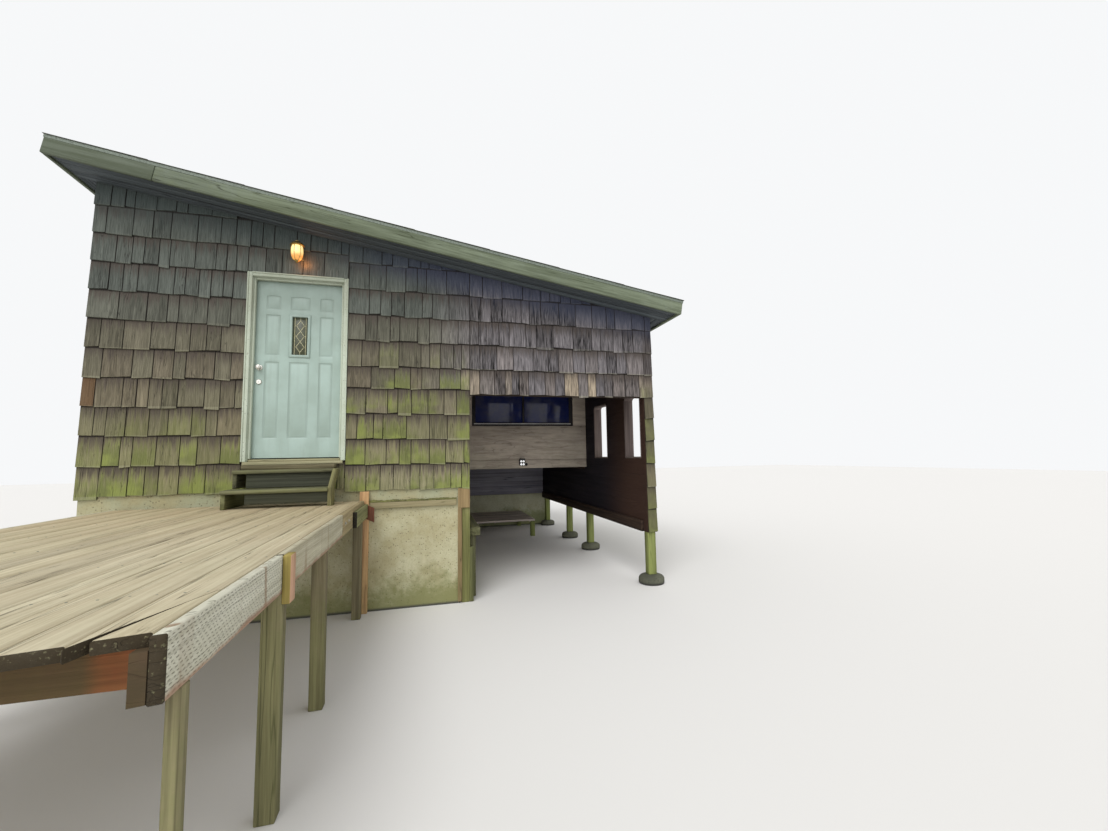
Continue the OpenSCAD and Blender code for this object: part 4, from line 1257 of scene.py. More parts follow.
def makeDoorLeaf():
    look = doorSetup
    low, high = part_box("door_leaf")
    centre = (low.x + high.x) / 2
    piece = addBox("doorLeaf", low, high)
    bpy.ops.object.mode_set(mode="EDIT")
    shares = (-0.5, -0.25, 0, 0.25, 0.5)
    places = [centre + middle + width * share for middle, width in look["columns"] for share in shares]
    cutAcross([(x, 0, 0) for x in places], (1, 0, 0))
    cutAcross([(0, 0, low.z + z) for row in look["rows"] for z in row], (0, 0, 1))
    bpy.ops.object.mode_set(mode="OBJECT")

    def inField(face, glazed):
        if abs(face.normal.y) < 0.9:
            return False
        x, z = face.center.x - centre, face.center.z - low.z
        for middle, width in look["columns"]:
            for bottom, top in look["rows"]:
                if abs(x - middle) < width / 2 and bottom < z < top:
                    return (middle == 0 and bottom == look["rows"][1][0]) == glazed
        return False

    for side in (-1, 1):
        pickParts(piece, "faces", lambda face: inField(face, False) and face.normal.y * side > 0)
        bpy.ops.mesh.inset(thickness=look["slope"], depth=-look["depth"])
        bpy.ops.mesh.inset(thickness=look["floor"])
        bpy.ops.mesh.inset(thickness=look["rise"], depth=look["depth"] * 0.75)
        bpy.ops.object.mode_set(mode="OBJECT")
    pickParts(piece, "faces", lambda face: inField(face, True))
    bpy.ops.mesh.inset(thickness=look["holeInset"])
    bpy.ops.mesh.bridge_edge_loops()
    bpy.ops.object.mode_set(mode="OBJECT")
    # The tops of the upper fields rise to a flat arch
    bottom, top = look["rows"][2]
    for vertex in piece.data.vertices:
        x, z = vertex.co.x - centre, vertex.co.z - low.z
        for middle, width in look["columns"]:
            across = (x - middle) / (width / 2)
            if abs(across) <= 1.001 and z > (bottom + top) / 2 and z < top + 0.001:
                vertex.co.z += look["arch"] * (1 - across * across)
    easeEdges(piece, 0.0012)
    groove = piece.data.attributes.new("groove", "FLOAT", "POINT")
    middle = (low.y + high.y) / 2
    depths = [(high.y - low.y) / 2 - abs(vertex.co.y - middle) for vertex in piece.data.vertices]
    groove.data.foreach_set("value", [float(look["depth"] * 0.8 < depth < 0.012) for depth in depths])
    return settle(paint(piece, "doorPaint"), "door", "door_paint", "door_leaf", angle=30)


def makeDoorLight():
    look = doorSetup
    low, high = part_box("door_light")
    leafLow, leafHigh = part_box("door_leaf")
    border = look["ring"]
    front = ringFrame("ringFront", (low.x, low.y, low.z), (high.x, leafLow.y, high.z), border,
                      "doorPaint", ease=0.004)
    back = ringFrame("ringBack", (low.x, leafHigh.y, low.z), (high.x, high.y, high.z), border,
                     "doorPaint", ease=0.004)
    inner = border / 2
    lining = ringFrame("ringLining", (low.x + inner, leafLow.y, low.z + inner),
                       (high.x - inner, leafHigh.y, high.z - inner), inner, "doorPaint", ease=0.001)
    return settle(joinPieces("doorLight", [front, back, lining]), "door", "door_paint", "door_light")


def makeDoorGlass():
    look = doorSetup
    low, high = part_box("door_glass")
    pane = paint(addBox("doorPane", low, high), "doorGlass")
    easeEdges(pane, 0.001)
    stampGrain(pane)
    middle, level = (low.x + high.x) / 2, (low.z + high.z) / 2
    width, tall = high.x - low.x, high.z - low.z
    # Three stacked lozenges between two uprights
    lines = []
    edge, count = width * 0.36, 3
    for side in (-1, 1):
        lines.append(((side * edge, -tall / 2), (side * edge, tall / 2)))
    step = tall * 0.84 / count
    for index in range(count):
        foot = -tall * 0.42 + step * index
        for side in (-1, 1):
            lines.append(((0, foot), (side * edge * 0.72, foot + step / 2)))
            lines.append(((side * edge * 0.72, foot + step / 2), (0, foot + step)))
            lines.append(((side * edge * 0.72, foot + step / 2), (side * edge, foot + step / 2)))
    lines.append(((0, -tall / 2), (0, -tall * 0.42)))
    lines.append(((0, tall * 0.42), (0, tall / 2)))
    bars = []
    depth = high.y - low.y + 2 * look["camingProud"]
    for start, end in lines:
        first = (middle + start[0], (low.y + high.y) / 2, level + start[1])
        last = (middle + end[0], (low.y + high.y) / 2, level + end[1])
        bars.append(layBar(first, last, look["caming"], depth, "caming"))
    return settle(joinPieces("doorGlass", [pane] + bars), "door", "glass", "door_glass")


hardwareSetup = {
    "knob": ((0.030, 0), (0.032, 0.004), (0.030, 0.007), (0.013, 0.011), (0.011, 0.024), (0.020, 0.033),
             (0.026, 0.041), (0.0275, 0.048), (0.025, 0.057), (0.017, 0.062), (0.004, 0.0635)),
    "lock": ((0.029, 0), (0.0295, 0.005), (0.026, 0.010), (0.024, 0.0135), (0.014, 0.014)),
    "knobLevel": 1.045,
    "lockLevel": 0.885,
    "backSet": 0.060,
    "knuckle": 0.019,
    "knuckleGap": 0.0006,
    "plate": 0.0024,
    "plateWidth": 0.033,
    "plateLength": 0.098,
    "pin": 0.0058,
    "ends": 0.200,
}


def makeHardware():
    look = hardwareSetup
    low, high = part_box("door_leaf")
    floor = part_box("room_floor")[1].z
    joint = frame["joints"][0]["pos_m"]
    moving, fixed = [], []
    for side, face in ((-1, low.y), (1, high.y)):
        for rings, level in ((look["knob"], look["knobLevel"]), (look["lock"], look["lockLevel"])):
            place = (low.x + look["backSet"], face, floor + level)
            moving.append(turnedPart("knobPart", rings, "steel", place, Vector((0, side, 0))))
    # The keyway and the thumb turn of the lock
    place = Vector((low.x + look["backSet"], low.y - 0.0145, floor + look["lockLevel"]))
    moving.append(layBar(place - Vector((0, 0, 0.005)), place + Vector((0, 0, 0.005)), 0.002, 0.002,
                         "windowMetal"))
    place.y = high.y + 0.022
    moving.append(layBar(place - Vector((0, 0, 0.014)), place + Vector((0, 0, 0.014)), 0.006, 0.016,
                         "steel"))
    half = look["plateLength"] / 2
    for level in (low.z + look["ends"], (low.z + high.z) / 2, high.z - look["ends"]):
        for index in range(5):
            bottom = level + (index - 2.5) * (look["knuckle"] + look["knuckleGap"])
            rings = ((look["pin"] - 0.001, 0), (look["pin"], 0.001), (look["pin"], look["knuckle"] - 0.001),
                     (look["pin"] - 0.001, look["knuckle"]))
            part = turnedPart("knuckle", rings, "steel", (joint[0], joint[1], bottom), segments=16)
            (moving if index % 2 else fixed).append(part)
        for group, x in ((moving, high.x), (fixed, high.x + 0.0056)):
            group.append(layBoard((x, high.y - look["plateWidth"], level - half),
                                  (x + look["plate"], high.y, level + half), "steel", "Z", warp=0))
            wings = (1, 3) if group is moving else (0, 2, 4)
            for index in wings:
                bottom = level + (index - 2.5) * (look["knuckle"] + look["knuckleGap"])
                group.append(layBoard((x, high.y, bottom),
                                      (x + look["plate"], joint[1], bottom + look["knuckle"]),
                                      "steel", "Z", warp=0))
    settle(joinPieces("doorHardware", moving), "door", "steel", "door_hardware", angle=35)
    settle(joinPieces("doorHinges", fixed), "building", "steel", "door_hinges", angle=35)


frameSetup = {
    "casing": 0.048,
    "band": 0.015,
    "bandDrop": 0.010,
    "jamb": 0.030,
    "stop": 0.020,
    "nailRadius": 0.0035,
    "nailStep": 0.40,
}


def makeDoorFrame():
    look = frameSetup
    low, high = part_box("door_frame")
    leafLow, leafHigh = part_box("door_leaf")
    w, band, drop, jamb = look["casing"], look["band"], look["bandDrop"], look["jamb"]
    pieces = []
    wall = frontLow.y
    # Casings: a flat board and a thicker band at its outer edge
    for start, end, along in (
        ((low.x, low.y, low.z), (low.x + w, wall, high.z), "Z"),
        ((high.x - w, low.y, low.z), (high.x, wall, high.z), "Z"),
        ((low.x + w, low.y, high.z - w), (high.x - w, wall, high.z), "X"),
    ):
        flatStart, flatEnd = Vector(start), Vector(end)
        flatStart.y += drop
        pieces.append(layBoard(flatStart, flatEnd, "trimPaint", along, warp=0.0005))
        bandStart, bandEnd = Vector(start), Vector(end)
        if along == "X":
            bandStart.z = high.z - band
        elif start[0] == low.x:
            bandEnd.x = low.x + band
        else:
            bandStart.x = high.x - band
        pieces.append(layBoard(bandStart, bandEnd, "trimPaint", along, warp=0.0005))
    # Jambs and stops
    inLeft, inRight = leafLow.x - 0.008, leafHigh.x + 0.008
    top = leafHigh.z + 0.006
    for start, end, along in (
        ((inLeft - jamb, frontLow.y, low.z), (inLeft, frontHigh.y, top + jamb), "Z"),
        ((inRight, frontLow.y, low.z), (inRight + jamb, frontHigh.y, top + jamb), "Z"),
        ((inLeft, frontLow.y, top), (inRight, frontHigh.y, top + jamb), "X"),
        ((inLeft, frontLow.y + 0.010, low.z + 0.030), (inLeft + look["stop"], leafLow.y - 0.006, top), "Z"),
        ((inRight - look["stop"], frontLow.y + 0.010, low.z + 0.030), (inRight, leafLow.y - 0.006, top),
         "Z"),
        ((inLeft + look["stop"], frontLow.y + 0.010, top - look["stop"]),
         (inRight - look["stop"], leafLow.y - 0.006, top), "X"),
    ):
        pieces.append(layBoard(start, end, "trimPaint", along, warp=0.0004))
    # Nail heads in the casings
    rings = ((look["nailRadius"], 0), (look["nailRadius"], 0.0008), (look["nailRadius"] * 0.5, 0.0012))
    level = low.z + 0.12
    while level < high.z - 0.1:
        for x in (low.x + w * 0.62, high.x - w * 0.62):
            place = (x, low.y + drop, level + dice.uniform(-0.02, 0.02))
            pieces.append(turnedPart("nail", rings, "dripMetal", place, Vector((0, -1, 0)), segments=10))
        level += look["nailStep"]
    return settle(joinPieces("doorFrame", pieces), "building", "white_trim", "door_frame")


def makeDoorSill():
    low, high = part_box("door_sill")
    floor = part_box("door_frame")[0].z
    leafLow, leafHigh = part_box("door_leaf")
    pieces = [layBoard((low.x, low.y, low.z), (high.x, high.y, floor), "threshold", "X")]

    def sloped(place):
        # The threshold falls away towards the outside
        if place.z > floor + 0.01:
            place.z -= 0.012 * min(1, max(0, (leafHigh.y - place.y) / (leafHigh.y - low.y)))
        return place

    pieces.append(layBoard((leafLow.x - 0.006, frontLow.y + 0.010, floor),
                           (leafHigh.x + 0.006, high.y, high.z),
                           "threshold", "X", shape=sloped))
    return settle(joinPieces("doorSill", pieces), "building", "weathered_post", "door_sill")


makeDoorLeaf()
makeDoorLight()
makeDoorGlass()
makeHardware()
makeDoorFrame()
makeDoorSill()
print("stage: door")


# Lights: an amber lantern over the door and a twin lamp in the slip
lightFittings = {
    "sides": 18,
    "bars": 6,
    "glass": ((0.012, 0.020), (0.036, 0.030), (0.054, 0.065), (0.061, 0.110), (0.060, 0.160),
              (0.054, 0.192)),
    "cap": ((0.060, 0.188), (0.074, 0.194), (0.070, 0.206), (0.050, 0.226), (0.026, 0.240), (0.018, 0.246),
            (0.020, 0.250), (0.010, 0.255)),
    "foot": ((0.005, -0.004), (0.012, 0.000), (0.009, 0.006), (0.022, 0.014), (0.026, 0.022),
             (0.020, 0.027)),
    "bar": 0.0055,
    "arm": (0.020, 0.150, 0.170),  # width, lowest and highest point over the foot
    "block": (0.090, 0.060, 0.210),
    "glow": 0.9,
    "glowPlace": (0.075, 0.045, 0.015),
    "housing": ((-0.050, -0.062, 0.005), (0.046, 0.0, 0.125)),  # corners, from the middle of the lamp's foot
    "lenses": ((-0.024, 0.024), (0.018, 0.024), (-0.024, 0.076), (0.018, 0.076)),
    "lens": ((0.018, 0), (0.018, 0.004), (0.014, 0.008), (0.005, 0.010)),
    "sensor": ((0.016, 0), (0.024, 0.008), (0.025, 0.020), (0.017, 0.032), (0.005, 0.036)),
}


def makeLantern(low, high):
    look = lightFittings
    foot = high.z - look["cap"][-1][1]
    centre = Vector(((low.x + high.x) / 2, shingleFace - 0.085, foot))
    pieces = []
    for rings, name in ((look["glass"], "amberGlow"), (look["cap"], "brass"), (look["foot"], "brass")):
        pieces.append(turnedPart("lanternPart", rings, name, centre, segments=look["sides"]))
    for index in range(look["bars"]):
        turn = math.radians(360 / look["bars"] * (index + 0.25))
        out = Vector((math.cos(turn), math.sin(turn), 0))
        points = [centre + out * (radius + 0.002) + Vector((0, 0, level)) for radius, level in look["glass"]]
        for start, end in zip(points, points[1:]):
            pieces.append(layBar(start, end, look["bar"], look["bar"], "brass", side=out))
    width, lowest, highest = look["arm"]
    pieces.append(layBoard((centre.x - width / 2, centre.y, foot + lowest),
                           (centre.x + width / 2, shingleFace - 0.012,
                            foot + highest), "brass", "Y", warp=0))
    pieces.append(turnedPart("backPlate", ((0.042, 0), (0.045, 0.004), (0.040, 0.009), (0.018, 0.014)),
                             "brass",
                             (centre.x, shingleFace - 0.012, foot + 0.135), Vector((0, -1, 0))))
    width, lowest, highest = look["block"]
    pieces.append(layBoard((centre.x - width / 2, shingleFace - 0.012, foot + lowest),
                           (centre.x + width / 2, frontLow.y, foot + highest), "fascia", "Z"))
    data = bpy.data.lights.new("lanternGlow", "POINT")
    data.energy = look["glow"]
    data.color = (1.0, 0.34, 0.10)
    data.shadow_soft_size = 0.05
    glow = bpy.data.objects.new("lanternGlow", data)
    glow.location = centre + Vector(look["glowPlace"])
    bpy.context.scene.collection.objects.link(glow)
    return pieces


def makeTwinLamp(low, high):
    # A dark housing with two pairs of white lenses and a sensor at its lower right
    look = lightFittings
    base = Vector(((low.x + high.x) / 2, high.y, low.z))
    start, end = look["housing"]
    pieces = [layBoard(base + Vector(start), base + Vector(end), "windowMetal", "Z", warp=0)]
    visor = (base + Vector((start[0], start[1] - 0.018, end[2] - 0.008)),
             base + Vector((end[0], start[1], end[2])))
    pieces.append(layBoard(visor[0], visor[1], "windowMetal", "X", warp=0))
    for across, level in look["lenses"]:
        place = base + Vector((across, start[1], level))
        pieces.append(turnedPart("lens", look["lens"], "lampGlow", place, Vector((0, -1, 0)), segments=20))
    place = base + Vector((end[0] + 0.022, start[1] + 0.030, 0.026))
    pieces.append(turnedPart("sensor", look["sensor"], "windowMetal", place, Vector((0.3, -1, -0.4)),
                             segments=20))
    pieces.append(layBar(place, base + Vector((end[0] - 0.01, start[1] + 0.035, 0.03)), 0.012, 0.012,
                         "windowMetal"))
    return pieces


def makeLamps():
    boxes = solidBoxes("wall_lamps")
    pieces = []
    for upper, make in ((True, makeLantern), (False, makeTwinLamp)):
        group = [box for box in boxes if (box[0].z > 3) == upper]
        low = Vector([min(box[0][axis] for box in group) for axis in range(3)])
        high = Vector([max(box[1][axis] for box in group) for axis in range(3)])
        pieces += make(low, high)
    return settle(joinPieces("wallLamps", pieces), "building", "lamp", "wall_lamps", angle=35)


makeLamps()
print("stage: lamps")


# Slider window and plywood of the slip
windowSetup = {
    "bar": 0.036,
    "sash": 0.030,
    "sashDepth": 0.022,
    "pane": 0.005,
    "overlap": 0.030,
    "track": 0.012,
}


def makeSlipWindow():
    look = windowSetup
    low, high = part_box("slip_window_frame")
    bar, sash, depth = look["bar"], look["sash"], look["sashDepth"]
    pieces = [ringFrame("outerFrame", low, high, bar, "windowMetal")]
    middle = (low.x + high.x) / 2
    panes = []
    for left, right, near in (
        (low.x + bar, middle + look["overlap"] / 2, high.y - depth - 0.006),
        (middle - look["overlap"] / 2, high.x - bar, low.y + 0.008),
    ):
        start = Vector((left, near, low.z + bar))
        end = Vector((right, near + depth, high.z - bar))
        pieces.append(ringFrame("sash", start, end, sash, "windowMetal"))
        inner = (sash, depth / 2 - look["pane"] / 2, sash)
        pane = addBox("pane", start + Vector(inner), end - Vector(inner))
        easeEdges(pane, 0.0008)
        stampGrain(pane)
        panes.append(paint(pane, "windowGlass"))
    # Bright sill track, latch and pull
    pieces.append(layBoard((low.x + bar, low.y - 0.004, low.z + bar), (high.x - bar, low.y + 0.006,
                           low.z + bar + look["track"]), "lampPaint", "X", warp=0))
    level = (low.z + high.z) / 2
    pieces.append(layBoard((middle - 0.012, low.y - 0.004, level - 0.04),
                           (middle + 0.010, low.y + 0.008, level + 0.04),
                           "windowMetal", "Z", warp=0))
    settle(joinPieces("slipWindowFrame", pieces), "building", "window_frame", "slip_window_frame")
    settle(joinPieces("slipWindowGlass", panes), "building", "glass", "slip_window_glass")


plywoodSetup = {
    "sheet": 0.012,
    "seam": 1.635,
    "gap": 0.003,
    "sheetWidth": 1.22,
}


def topped(place):
    # Brings the top of a wall panel down to the roof line
    limit = wallTop(place.x) - 0.001
    return Vector((place.x, place.y, min(place.z, limit)))


def makePlywoodWalls():
    look = plywoodSetup
    low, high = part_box("slip_back_wall")
    windowLow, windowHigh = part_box("slip_window_frame")
    t, gap, seam = look["sheet"], look["gap"], look["seam"]
    tall = low.z + (high.z - low.z) * 1.02
    pieces = []
    # Framing behind the sheets, around the window
    for start, end, along in (
        ((low.x, low.z), (windowLow.x, tall), "Z"),
        ((windowHigh.x, low.z), (high.x, tall), "Z"),
        ((windowLow.x, low.z), (windowHigh.x, windowLow.z), "X"),
        ((windowLow.x, windowHigh.z), (windowHigh.x, tall), "X"),
    ):
        pieces.append(layBoard((start[0], low.y + t, start[1]), (end[0], high.y, end[1]), "jambWood", along,
                               shape=topped, warp=0))
    middle = (low.x + high.x) / 2
    for start, end in (
        ((low.x, low.z), (high.x, seam)),
        ((low.x, seam + gap), (high.x, windowLow.z)),
        ((low.x, windowLow.z + gap), (windowLow.x, tall)),
        ((windowHigh.x, windowLow.z + gap), (high.x, tall)),
        ((windowLow.x, windowHigh.z), (middle, tall)),
        ((middle + gap, windowHigh.z), (windowHigh.x, tall)),
    ):
        pieces.append(layBoard((start[0], low.y, start[1]), (end[0], low.y + t, end[1]), "plywood", "X",
                               shape=topped, warp=0.001))
    settle(joinPieces("slipBackWall", pieces), "building", "plywood", "slip_back_wall")
    low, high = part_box("slip_side_wall")
    pieces = [layBoard((low.x, low.y, low.z), (high.x - t, high.y, high.z), "jambWood", "Y", shape=topped,
                       warp=0)]
    at = low.y
    while at < high.y - 0.01:
        end = min(at + look["sheetWidth"], high.y)
        pieces.append(layBoard((high.x - t, at, low.z), (high.x, end - gap, high.z), "plywood", "Z",
                               shape=topped,
                               warp=0.001))
        at = end
    settle(joinPieces("slipSideWall", pieces), "building", "plywood", "slip_side_wall")


makeSlipWindow()
makePlywoodWalls()
print("stage: slip window and plywood")


# Steps at the door
stepSetup = {
    "riserBack": 0.060,
    "riserStarts": (0.190, 0.110),
    "riser": 0.018,
    "riserLift": 0.045,  # gap under the lower riser
    "boardBack": 0.080,
    "boardLeft": 0.050,
    "stringer": 0.038,
    "stringerBack": 0.025,
    "stringerWidth": 0.160,
    "tread": 0.038,
    "levels": (0.185, 0.371),
}


def makeDoorSteps():
    look = stepSetup
    low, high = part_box("door_steps")
    deck = low.z
    left, right = low.x, high.x - look["stringer"]
    depth = (high.y - low.y) / 2
    treads = [deck + level for level in look["levels"]]
    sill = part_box("door_sill")[0].z
    pieces = []
    for index, level in enumerate(treads):
        near = low.y + depth * index
        split = near + depth * 0.52
        for start, end in ((near, split - 0.003), (split + 0.002, near + depth)):
            pieces.append(layBoard((left, start, level - look["tread"]), (right, end, level),
                                   "mossyTimber", "X",
                                   warp=0.003))
        start = left + look["riserStarts"][index]
        foot = deck + look["riserLift"] if index == 0 else treads[0]
        pieces.append(layBoard((start, near + look["riserBack"], foot),
                               (right, near + look["riserBack"] + look["riser"],
                               level - look["tread"]), "stepRiser", "X"))
    pieces.append(layBoard((left + look["boardLeft"], low.y + depth + look["boardBack"], treads[1]),
                           (right, high.y, sill), "backBoard", "X", warp=0.002))

    def strung(place):
        # A board that is upright up to the lower tread, then leans back to the upper one
        top, knee = treads[1], treads[0]
        share = (place.z - deck) / (top - deck)
        z = knee if 0.40 < share < 0.46 else place.z
        climb = max(0, z - knee) / (top - knee)
        front = low.y + look["stringerBack"] + climb * (depth - look["stringerBack"])
        back = (high.y - place.y) / (high.y - low.y)
        return Vector((place.x, front + (1 - back) * look["stringerWidth"], z))

    pieces.append(layBoard((right, low.y, deck), (right + look["stringer"], high.y, treads[1]),
                           "greenPost", "Z",
                           shape=strung, warp=0))
    # The left side is cut in steps under the treads
    for near, foot, level in ((low.y, deck, treads[0]), (low.y + depth, treads[0], treads[1])):
        pieces.append(layBoard((left, near + look["stringerBack"], foot),
                               (left + look["stringer"], high.y, level - look["tread"]), "mossyTimber", "Y"))
    return settle(joinPieces("doorSteps", pieces), "building", "weathered_post", "door_steps")


# Deck
deckSetup = {
    "firstWidths": (0.166, 0.148, 0.145, 0.140, 0.180, 0.187),
    "widths": (0.147, 0.185),
    "gap": 0.006,
    "ragged": 0.022,
    "wedge": (0.132, 0.50),  # width and length of the filler at the near right corner
    "rimJoints": (-3.16, -1.50),
    "rimTall": 0.184,
    "sister": (0.818, 0.150),  # length and height of the second board at the far end
    "block": (3.030, 0.235, 0.089),  # distance from the far end, height and width
    "bolt": ((0.016, 0), (0.016, 0.002), (0.009, 0.003), (0.009, 0.010), (0.006, 0.012)),
    "nailRadius": 0.0045,
    "nailStep": 0.60,
}
deckLow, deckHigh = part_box("deck_boards")
deckPoints = [vertex.co for vertex in frame["nodes"]["deck_boards"].data.vertices]
deckRightEnd = min(point.y for point in deckPoints if point.x > deckHigh.x - 0.001)
deckSkew = (deckRightEnd - deckLow.y) / (deckHigh.x - deckLow.x)


def deckNear(x):
    return deckLow.y + (x - deckLow.x) * deckSkew


def makeDeckBoards():
    look = deckSetup
    pieces = []
    right = deckHigh.x
    widths = list(look["firstWidths"])
    number = 0
    wedgeWide, wedgeLong = look["wedge"]
    while right > deckLow.x + 0.02:
        width = widths[number] if number < len(widths) else dice.choice(look["widths"])
        left = max(deckLow.x, right - width)
        if left - deckLow.x < 0.06:
            left = deckLow.x
        ragged = dice.uniform(-0.3, 1.0) * look["ragged"]
        near = deckNear((left + right) / 2)

        def trimmed(place, left=left, right=right, near=near, ragged=ragged, number=number):
            end = deckNear(place.x) + ragged
            if number == 0:
                # The first board is cut away slantwise for the filler
                end += wedgeLong * max(0, (place.x - (right - wedgeWide)) / wedgeWide)
            share = (deckHigh.y - place.y) / (deckHigh.y - near)
            bow = noise.noise((place.y * 0.8, number * 3.7, 0)) * 0.002
            return Vector((place.x, deckHigh.y - share * (deckHigh.y - end), place.z + bow))

        pieces.append(layBoard((left, near, deckLow.z), (right - look["gap"], deckHigh.y, deckHigh.z),
                               "deckBoards",
                               "Y", shape=trimmed, warp=0.0015))
        right = left
        number += 1

    def wedge(place):
        end = deckNear(place.x) + look["ragged"] * 1.5
        start = end + wedgeLong * max(0.03, (place.x - (deckHigh.x - wedgeWide)) / wedgeWide) - 0.004
        share = place.y
        return Vector((place.x, end + (start - end) * share, place.z))

    pieces.append(layBoard((deckHigh.x - wedgeWide, 0, deckLow.z), (deckHigh.x - look["gap"], 1, deckHigh.z),
                           "deckBoards", "Y", tone=0.9, shape=wedge, warp=0))
    # Nail heads over the joists
    rings = ((look["nailRadius"], -0.001), (look["nailRadius"], 0.0006), (look["nailRadius"] * 0.6, 0.001))
    nail = turnedPart("nailPattern", rings, "dripMetal", segments=8)
    y = deckHigh.y - 0.03
    while y > deckRightEnd + 0.1:
        x = deckHigh.x - 0.035
        while x > deckLow.x + 0.02:
            copy = nail.copy()
            copy.data = nail.data.copy()
            bpy.context.scene.collection.objects.link(copy)
            place = (x + dice.uniform(-0.01, 0.01), y + dice.uniform(-0.012, 0.012), deckHigh.z)
            copy.data.transform(Matrix.Translation(place))
            pieces.append(copy)
            x -= 0.085
        y -= look["nailStep"]
    bpy.data.objects.remove(nail)
    return settle(joinPieces("deckBoards", pieces), "building", "deck_wood", "deck_boards")


def makeDeckRim():
    look = deckSetup
    low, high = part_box("deck_rim")
    t = deckLow.x - low.x
    right = deckHigh.x + t
    far = deckHigh.y
    bottom = deckHigh.z - look["rimTall"]
    pieces = []

    def ended(place):
        share = (far - place.y) / (far - deckRightEnd)
        return place if share < 0.9 else Vector((place.x, place.y + deckSkew * (place.x - right), place.z))

    near, second = look["rimJoints"]
    for start, end, name in ((deckNear(right), near - 0.002, "whiteRim"),
                             (near, second - 0.003, "rimBoards"),
                             (second, far, "tanRim")):
        pieces.append(layBoard((deckHigh.x, start, bottom), (right, end, deckHigh.z), name, "Y", shape=ended,
                               warp=0.003))
    long, tall = look["sister"]
    pieces.append(layBoard((right, far - long, deckLow.z - tall), (high.x, far, deckLow.z), "greenRim",
                           "Y", warp=0.002))
    back, tall, wide = look["block"]
    pieces.append(layBoard((right, far - back, deckHigh.z - tall),
                           (high.x, far - back + wide, deckHigh.z), "blockWood",
                           "Z", warp=0.001))
    # Two bolt heads on the last length
    for along in (0.12, 0.30):
        pieces.append(turnedPart("bolt", look["bolt"], "steel", (right, second + along, deckHigh.z - 0.085),
                                 Vector((1, 0, 0)), segments=12))
    split = (deckLow.y + far) / 2
    for start, end in ((deckNear(low.x), split - 0.003), (split, far)):
        pieces.append(layBoard((low.x, start, bottom), (deckLow.x, end, deckHigh.z), "rimBoards", "Y",
                               warp=0.003))
    return settle(joinPieces("deckRim", pieces), "building", "deck_wood", "deck_rim")


def makeFromSolids(name, node, look, slot, along):
    # Each solid of a node again as an eased, grained board
    pieces = []
    for low, high in solidBoxes(node):
        pieces.append(layBoard(low, high, look, along, warp=0.002))
    return settle(joinPieces(name, pieces), "building", slot, node)


timberSetup = {
    "brownBoard": (0.555, 0.603, 0.020),  # left, right and how far it stands proud
    "cap": (1.100, 1.336),
    "secondPost": (0.110, 0.630),  # depth and height
    "redPost": (0.095, 1.333),
    "rail": (1.138, 1.205, 0.038),  # lowest, highest and depth
    "railRight": 0.536,
    "moss": 0.032,
    "plate": ((-0.455, 1.030), (-0.372, 1.150), 0.008),
}


def makeTimbersAtFront():
    look = timberSetup
    low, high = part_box("foundation_timbers")
    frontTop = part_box("foundation_front")[1]
    wall = frontLow.y
    slipLeft = slipLow.x
    left, right, proud = look["brownBoard"]
    capLow, capHigh = look["cap"]
    pieces = [layBoard((right, wall, 0), (slipLeft, frontTop.y, frontTop.z), "greenPost", "Z")]
    depth, tall = look["secondPost"]
    pieces.append(layBoard((slipLeft, wall, 0), (high.x, wall + depth, tall), "mossyTimber", "Z"))
    pieces.append(layBoard((left, wall - proud, 0.02), (right, wall + proud, capLow), "brownTimber", "Z"))
    pieces.append(layBoard((left, wall - proud, capLow), (slipLeft, wall, capHigh), "brownTimber", "Z"))
    wide, tall = look["redPost"]
    pieces.append(layBoard((low.x, low.y, 0), (low.x + wide, wall, tall), "redPost", "Z"))
    bottom, top, depth = look["rail"]
    start, end = low.x + wide, look["railRight"]
    pieces.append(layBoard((start, wall - depth, bottom), (end, wall, top), "ledgerWood", "X"))

    def lumpy(place):
        # Moss that lies unevenly on the rail
        lump = noise.noise((place.x * 9, 0, 0)) * 0.35 + noise.noise((place.x * 31, 5, 0)) * 0.2 + 0.75
        return Vector((place.x, place.y, top + (place.z - top) * lump))

    count = 12
    step = (end - start) / count
    for index in range(count):
        near = start + step * index
        pieces.append(layBoard((near, wall - depth * 0.9, top - 0.003),
                               (near + step + 0.002, wall, top + look["moss"]),
                               "mossPad", "X", shape=lumpy, tone=0.5, warp=0.002))
    # A rusty strap plate over the post and the end of the rail
    (plateLeft, plateLow), (plateRight, plateHigh), thick = look["plate"]

    def slanted(place):
        return Vector((place.x, place.y, place.z - (place.x - plateLeft) * 0.5))

    pieces.append(layBoard((plateLeft, low.y - thick, plateLow), (plateRight, low.y, plateHigh + 0.04),
                           "strapPlate",
                           "Z", shape=slanted, warp=0))
    return settle(joinPieces("foundationTimbers", pieces), "building", "weathered_post",
                  "foundation_timbers")


pierSetup = {
    "rings": [(0.955, 0), (1, 0.014), (1, 0.045), (0.995, 0.070), (0.95, 0.086),
              (0.87, 0.100), (0.74, 0.111), (0.55, 0.118), (0.3, 0.120)],  # share of the radius, height
    "segments": 44,
    "uneven": 0.004,
}


def makePiers():
    pieces = []
    for boxLow, boxHigh in solidBoxes("slip_piers"):
        radius = (boxHigh.x - boxLow.x) / 2
        rings = [(radius * share, height) for share, height in pierSetup["rings"]]
        place = ((boxLow.x + boxHigh.x) / 2, (boxLow.y + boxHigh.y) / 2, 0)
        piece = turnedPart("pier", rings, "pierConcrete", place, segments=pierSetup["segments"])
        for vertex in piece.data.vertices:
            if vertex.co.z > 0.001:
                vertex.co += Vector((1, 1, 0)) * noise.noise(vertex.co * 9) * pierSetup["uneven"]
        pieces.append(piece)
    return settle(joinPieces("slipPiers", pieces), "building", "concrete", "slip_piers")


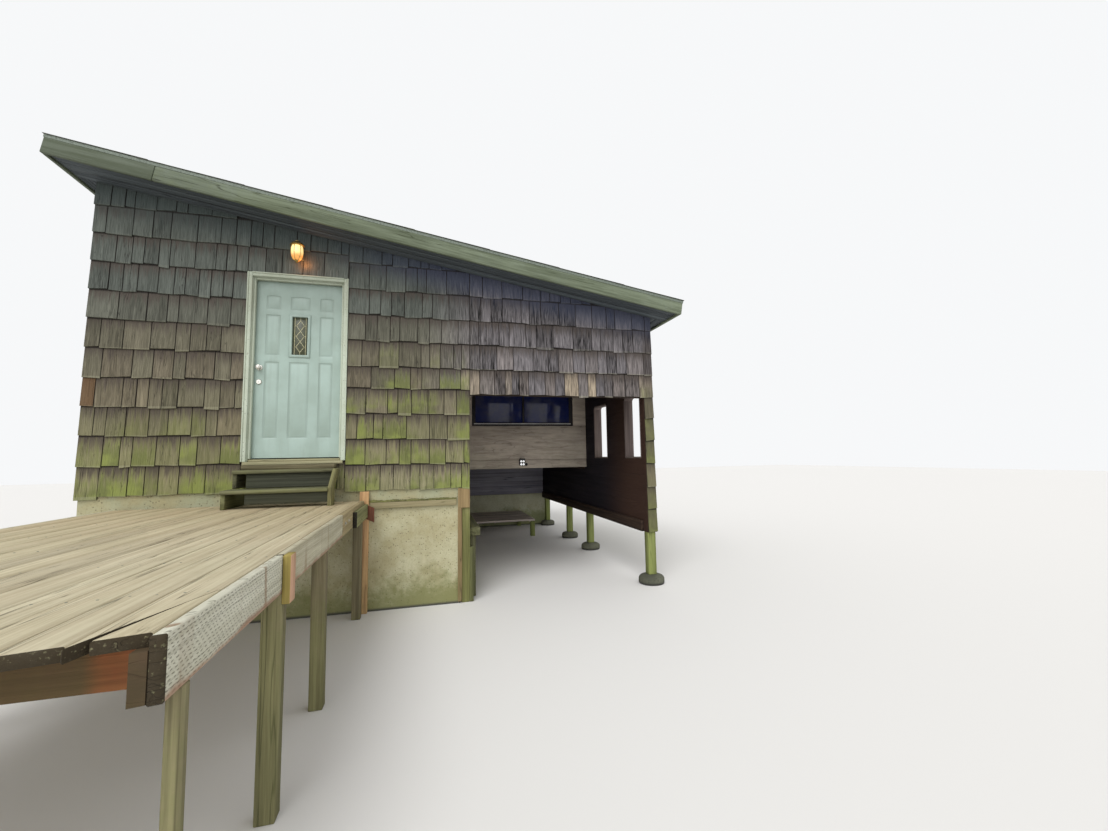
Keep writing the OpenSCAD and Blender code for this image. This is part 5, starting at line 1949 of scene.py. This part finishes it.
landingSetup = {"board": 0.138, "gap": 0.006, "post": 0.090}


def makeLanding():
    look = landingSetup
    low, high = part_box("landing_boards")
    pieces = []
    near = low.y
    while near < high.y - 0.02:
        far = min(near + look["board"], high.y)
        pieces.append(layBoard((low.x, near, low.z + 0.012), (high.x, far - look["gap"], high.z),
                               "landingWood", "X",
                               warp=0.003))
        near = far
    for x in (low.x + 0.09, (low.x + high.x) / 2, high.x - 0.128):
        pieces.append(layBoard((x, low.y + 0.01, low.z), (x + 0.038, high.y - 0.01, low.z + 0.013),
                               "landingWood", "Y"))
    return settle(joinPieces("landingBoards", pieces), "building", "weathered_post", "landing_boards")


def makeLedge():
    low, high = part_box("mooring_ledge")
    top = high.z - 0.100
    pieces = []
    step = (high.y - low.y) / 2
    for index in range(2):
        start = low.y + step * index
        pieces.append(layBoard((low.x, start, top), (high.x, start + step - 0.004, high.z), "mossyTimber",
                               "Y"))
    near = low.y + 0.060
    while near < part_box("landing_boards")[0].y - 0.2:
        pieces.append(layBoard((low.x, near, 0), (low.x + 0.090, near + 0.090, top), "mossyTimber", "Z"))
        near += 1.1
    return settle(joinPieces("mooringLedge", pieces), "building", "weathered_post", "mooring_ledge")


floorSetup = {"board": 0.140, "gap": 0.0025}


def makeFloor(name, node):
    low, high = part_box(node)
    pieces = []
    left = low.x
    while left < high.x - 0.01:
        right = min(left + floorSetup["board"], high.x)
        right = high.x if high.x - right < 0.04 else right
        pieces.append(layBoard((left, low.y, low.z), (right - floorSetup["gap"], high.y, high.z),
                               "floorBoards", "Y",
                               warp=0.0005))
        left = right
    return settle(joinPieces(name, pieces), "building", "framing", node)


makeDoorSteps()
makeDeckBoards()
makeDeckRim()
makeFromSolids("deckPosts", "deck_posts", "deckPost", "weathered_post", "Z")
makeFromSolids("slipPosts", "slip_posts", "slipPost", "weathered_post", "Z")
makeFromSolids("waterWallRails", "water_wall_rails", "waterSideBoards", "siding", "Y")
makeTimbersAtFront()
makePiers()
makeLanding()
makeLedge()
makeFloor("roomFloor", "room_floor")
makeFloor("slipFloor", "slip_floor")
print("stage: steps, deck, slip and floors")


# Nodes whose shape stays get their finish
keptNodes = {
    "foundation_front": "concrete",
    "foundation_left": "concrete",
    "foundation_rear": "concrete",
    "foundation_slip": "concrete",
    "front_wall_left": "wallBoardsX",
    "front_wall_at_door": "wallBoardsX",
    "front_wall_middle": "wallBoardsX",
    "front_wall_over_slip": "wallBoardsX",
    "left_wall": "wallBoardsY",
    "rear_wall": "rearBoards",
    "water_wall": "wallBoardsY",
    "floor_joists": "framing",
    "rafters": "framing",
    "roof_deck": "framing",
    "deck_joists": "deckJoists",
}
for nodeName, look in keptNodes.items():
    node = frame["nodes"][nodeName]
    node.data.materials.clear()
    node.data.materials.append(finish[look])
print("stage: finishes of the kept nodes")
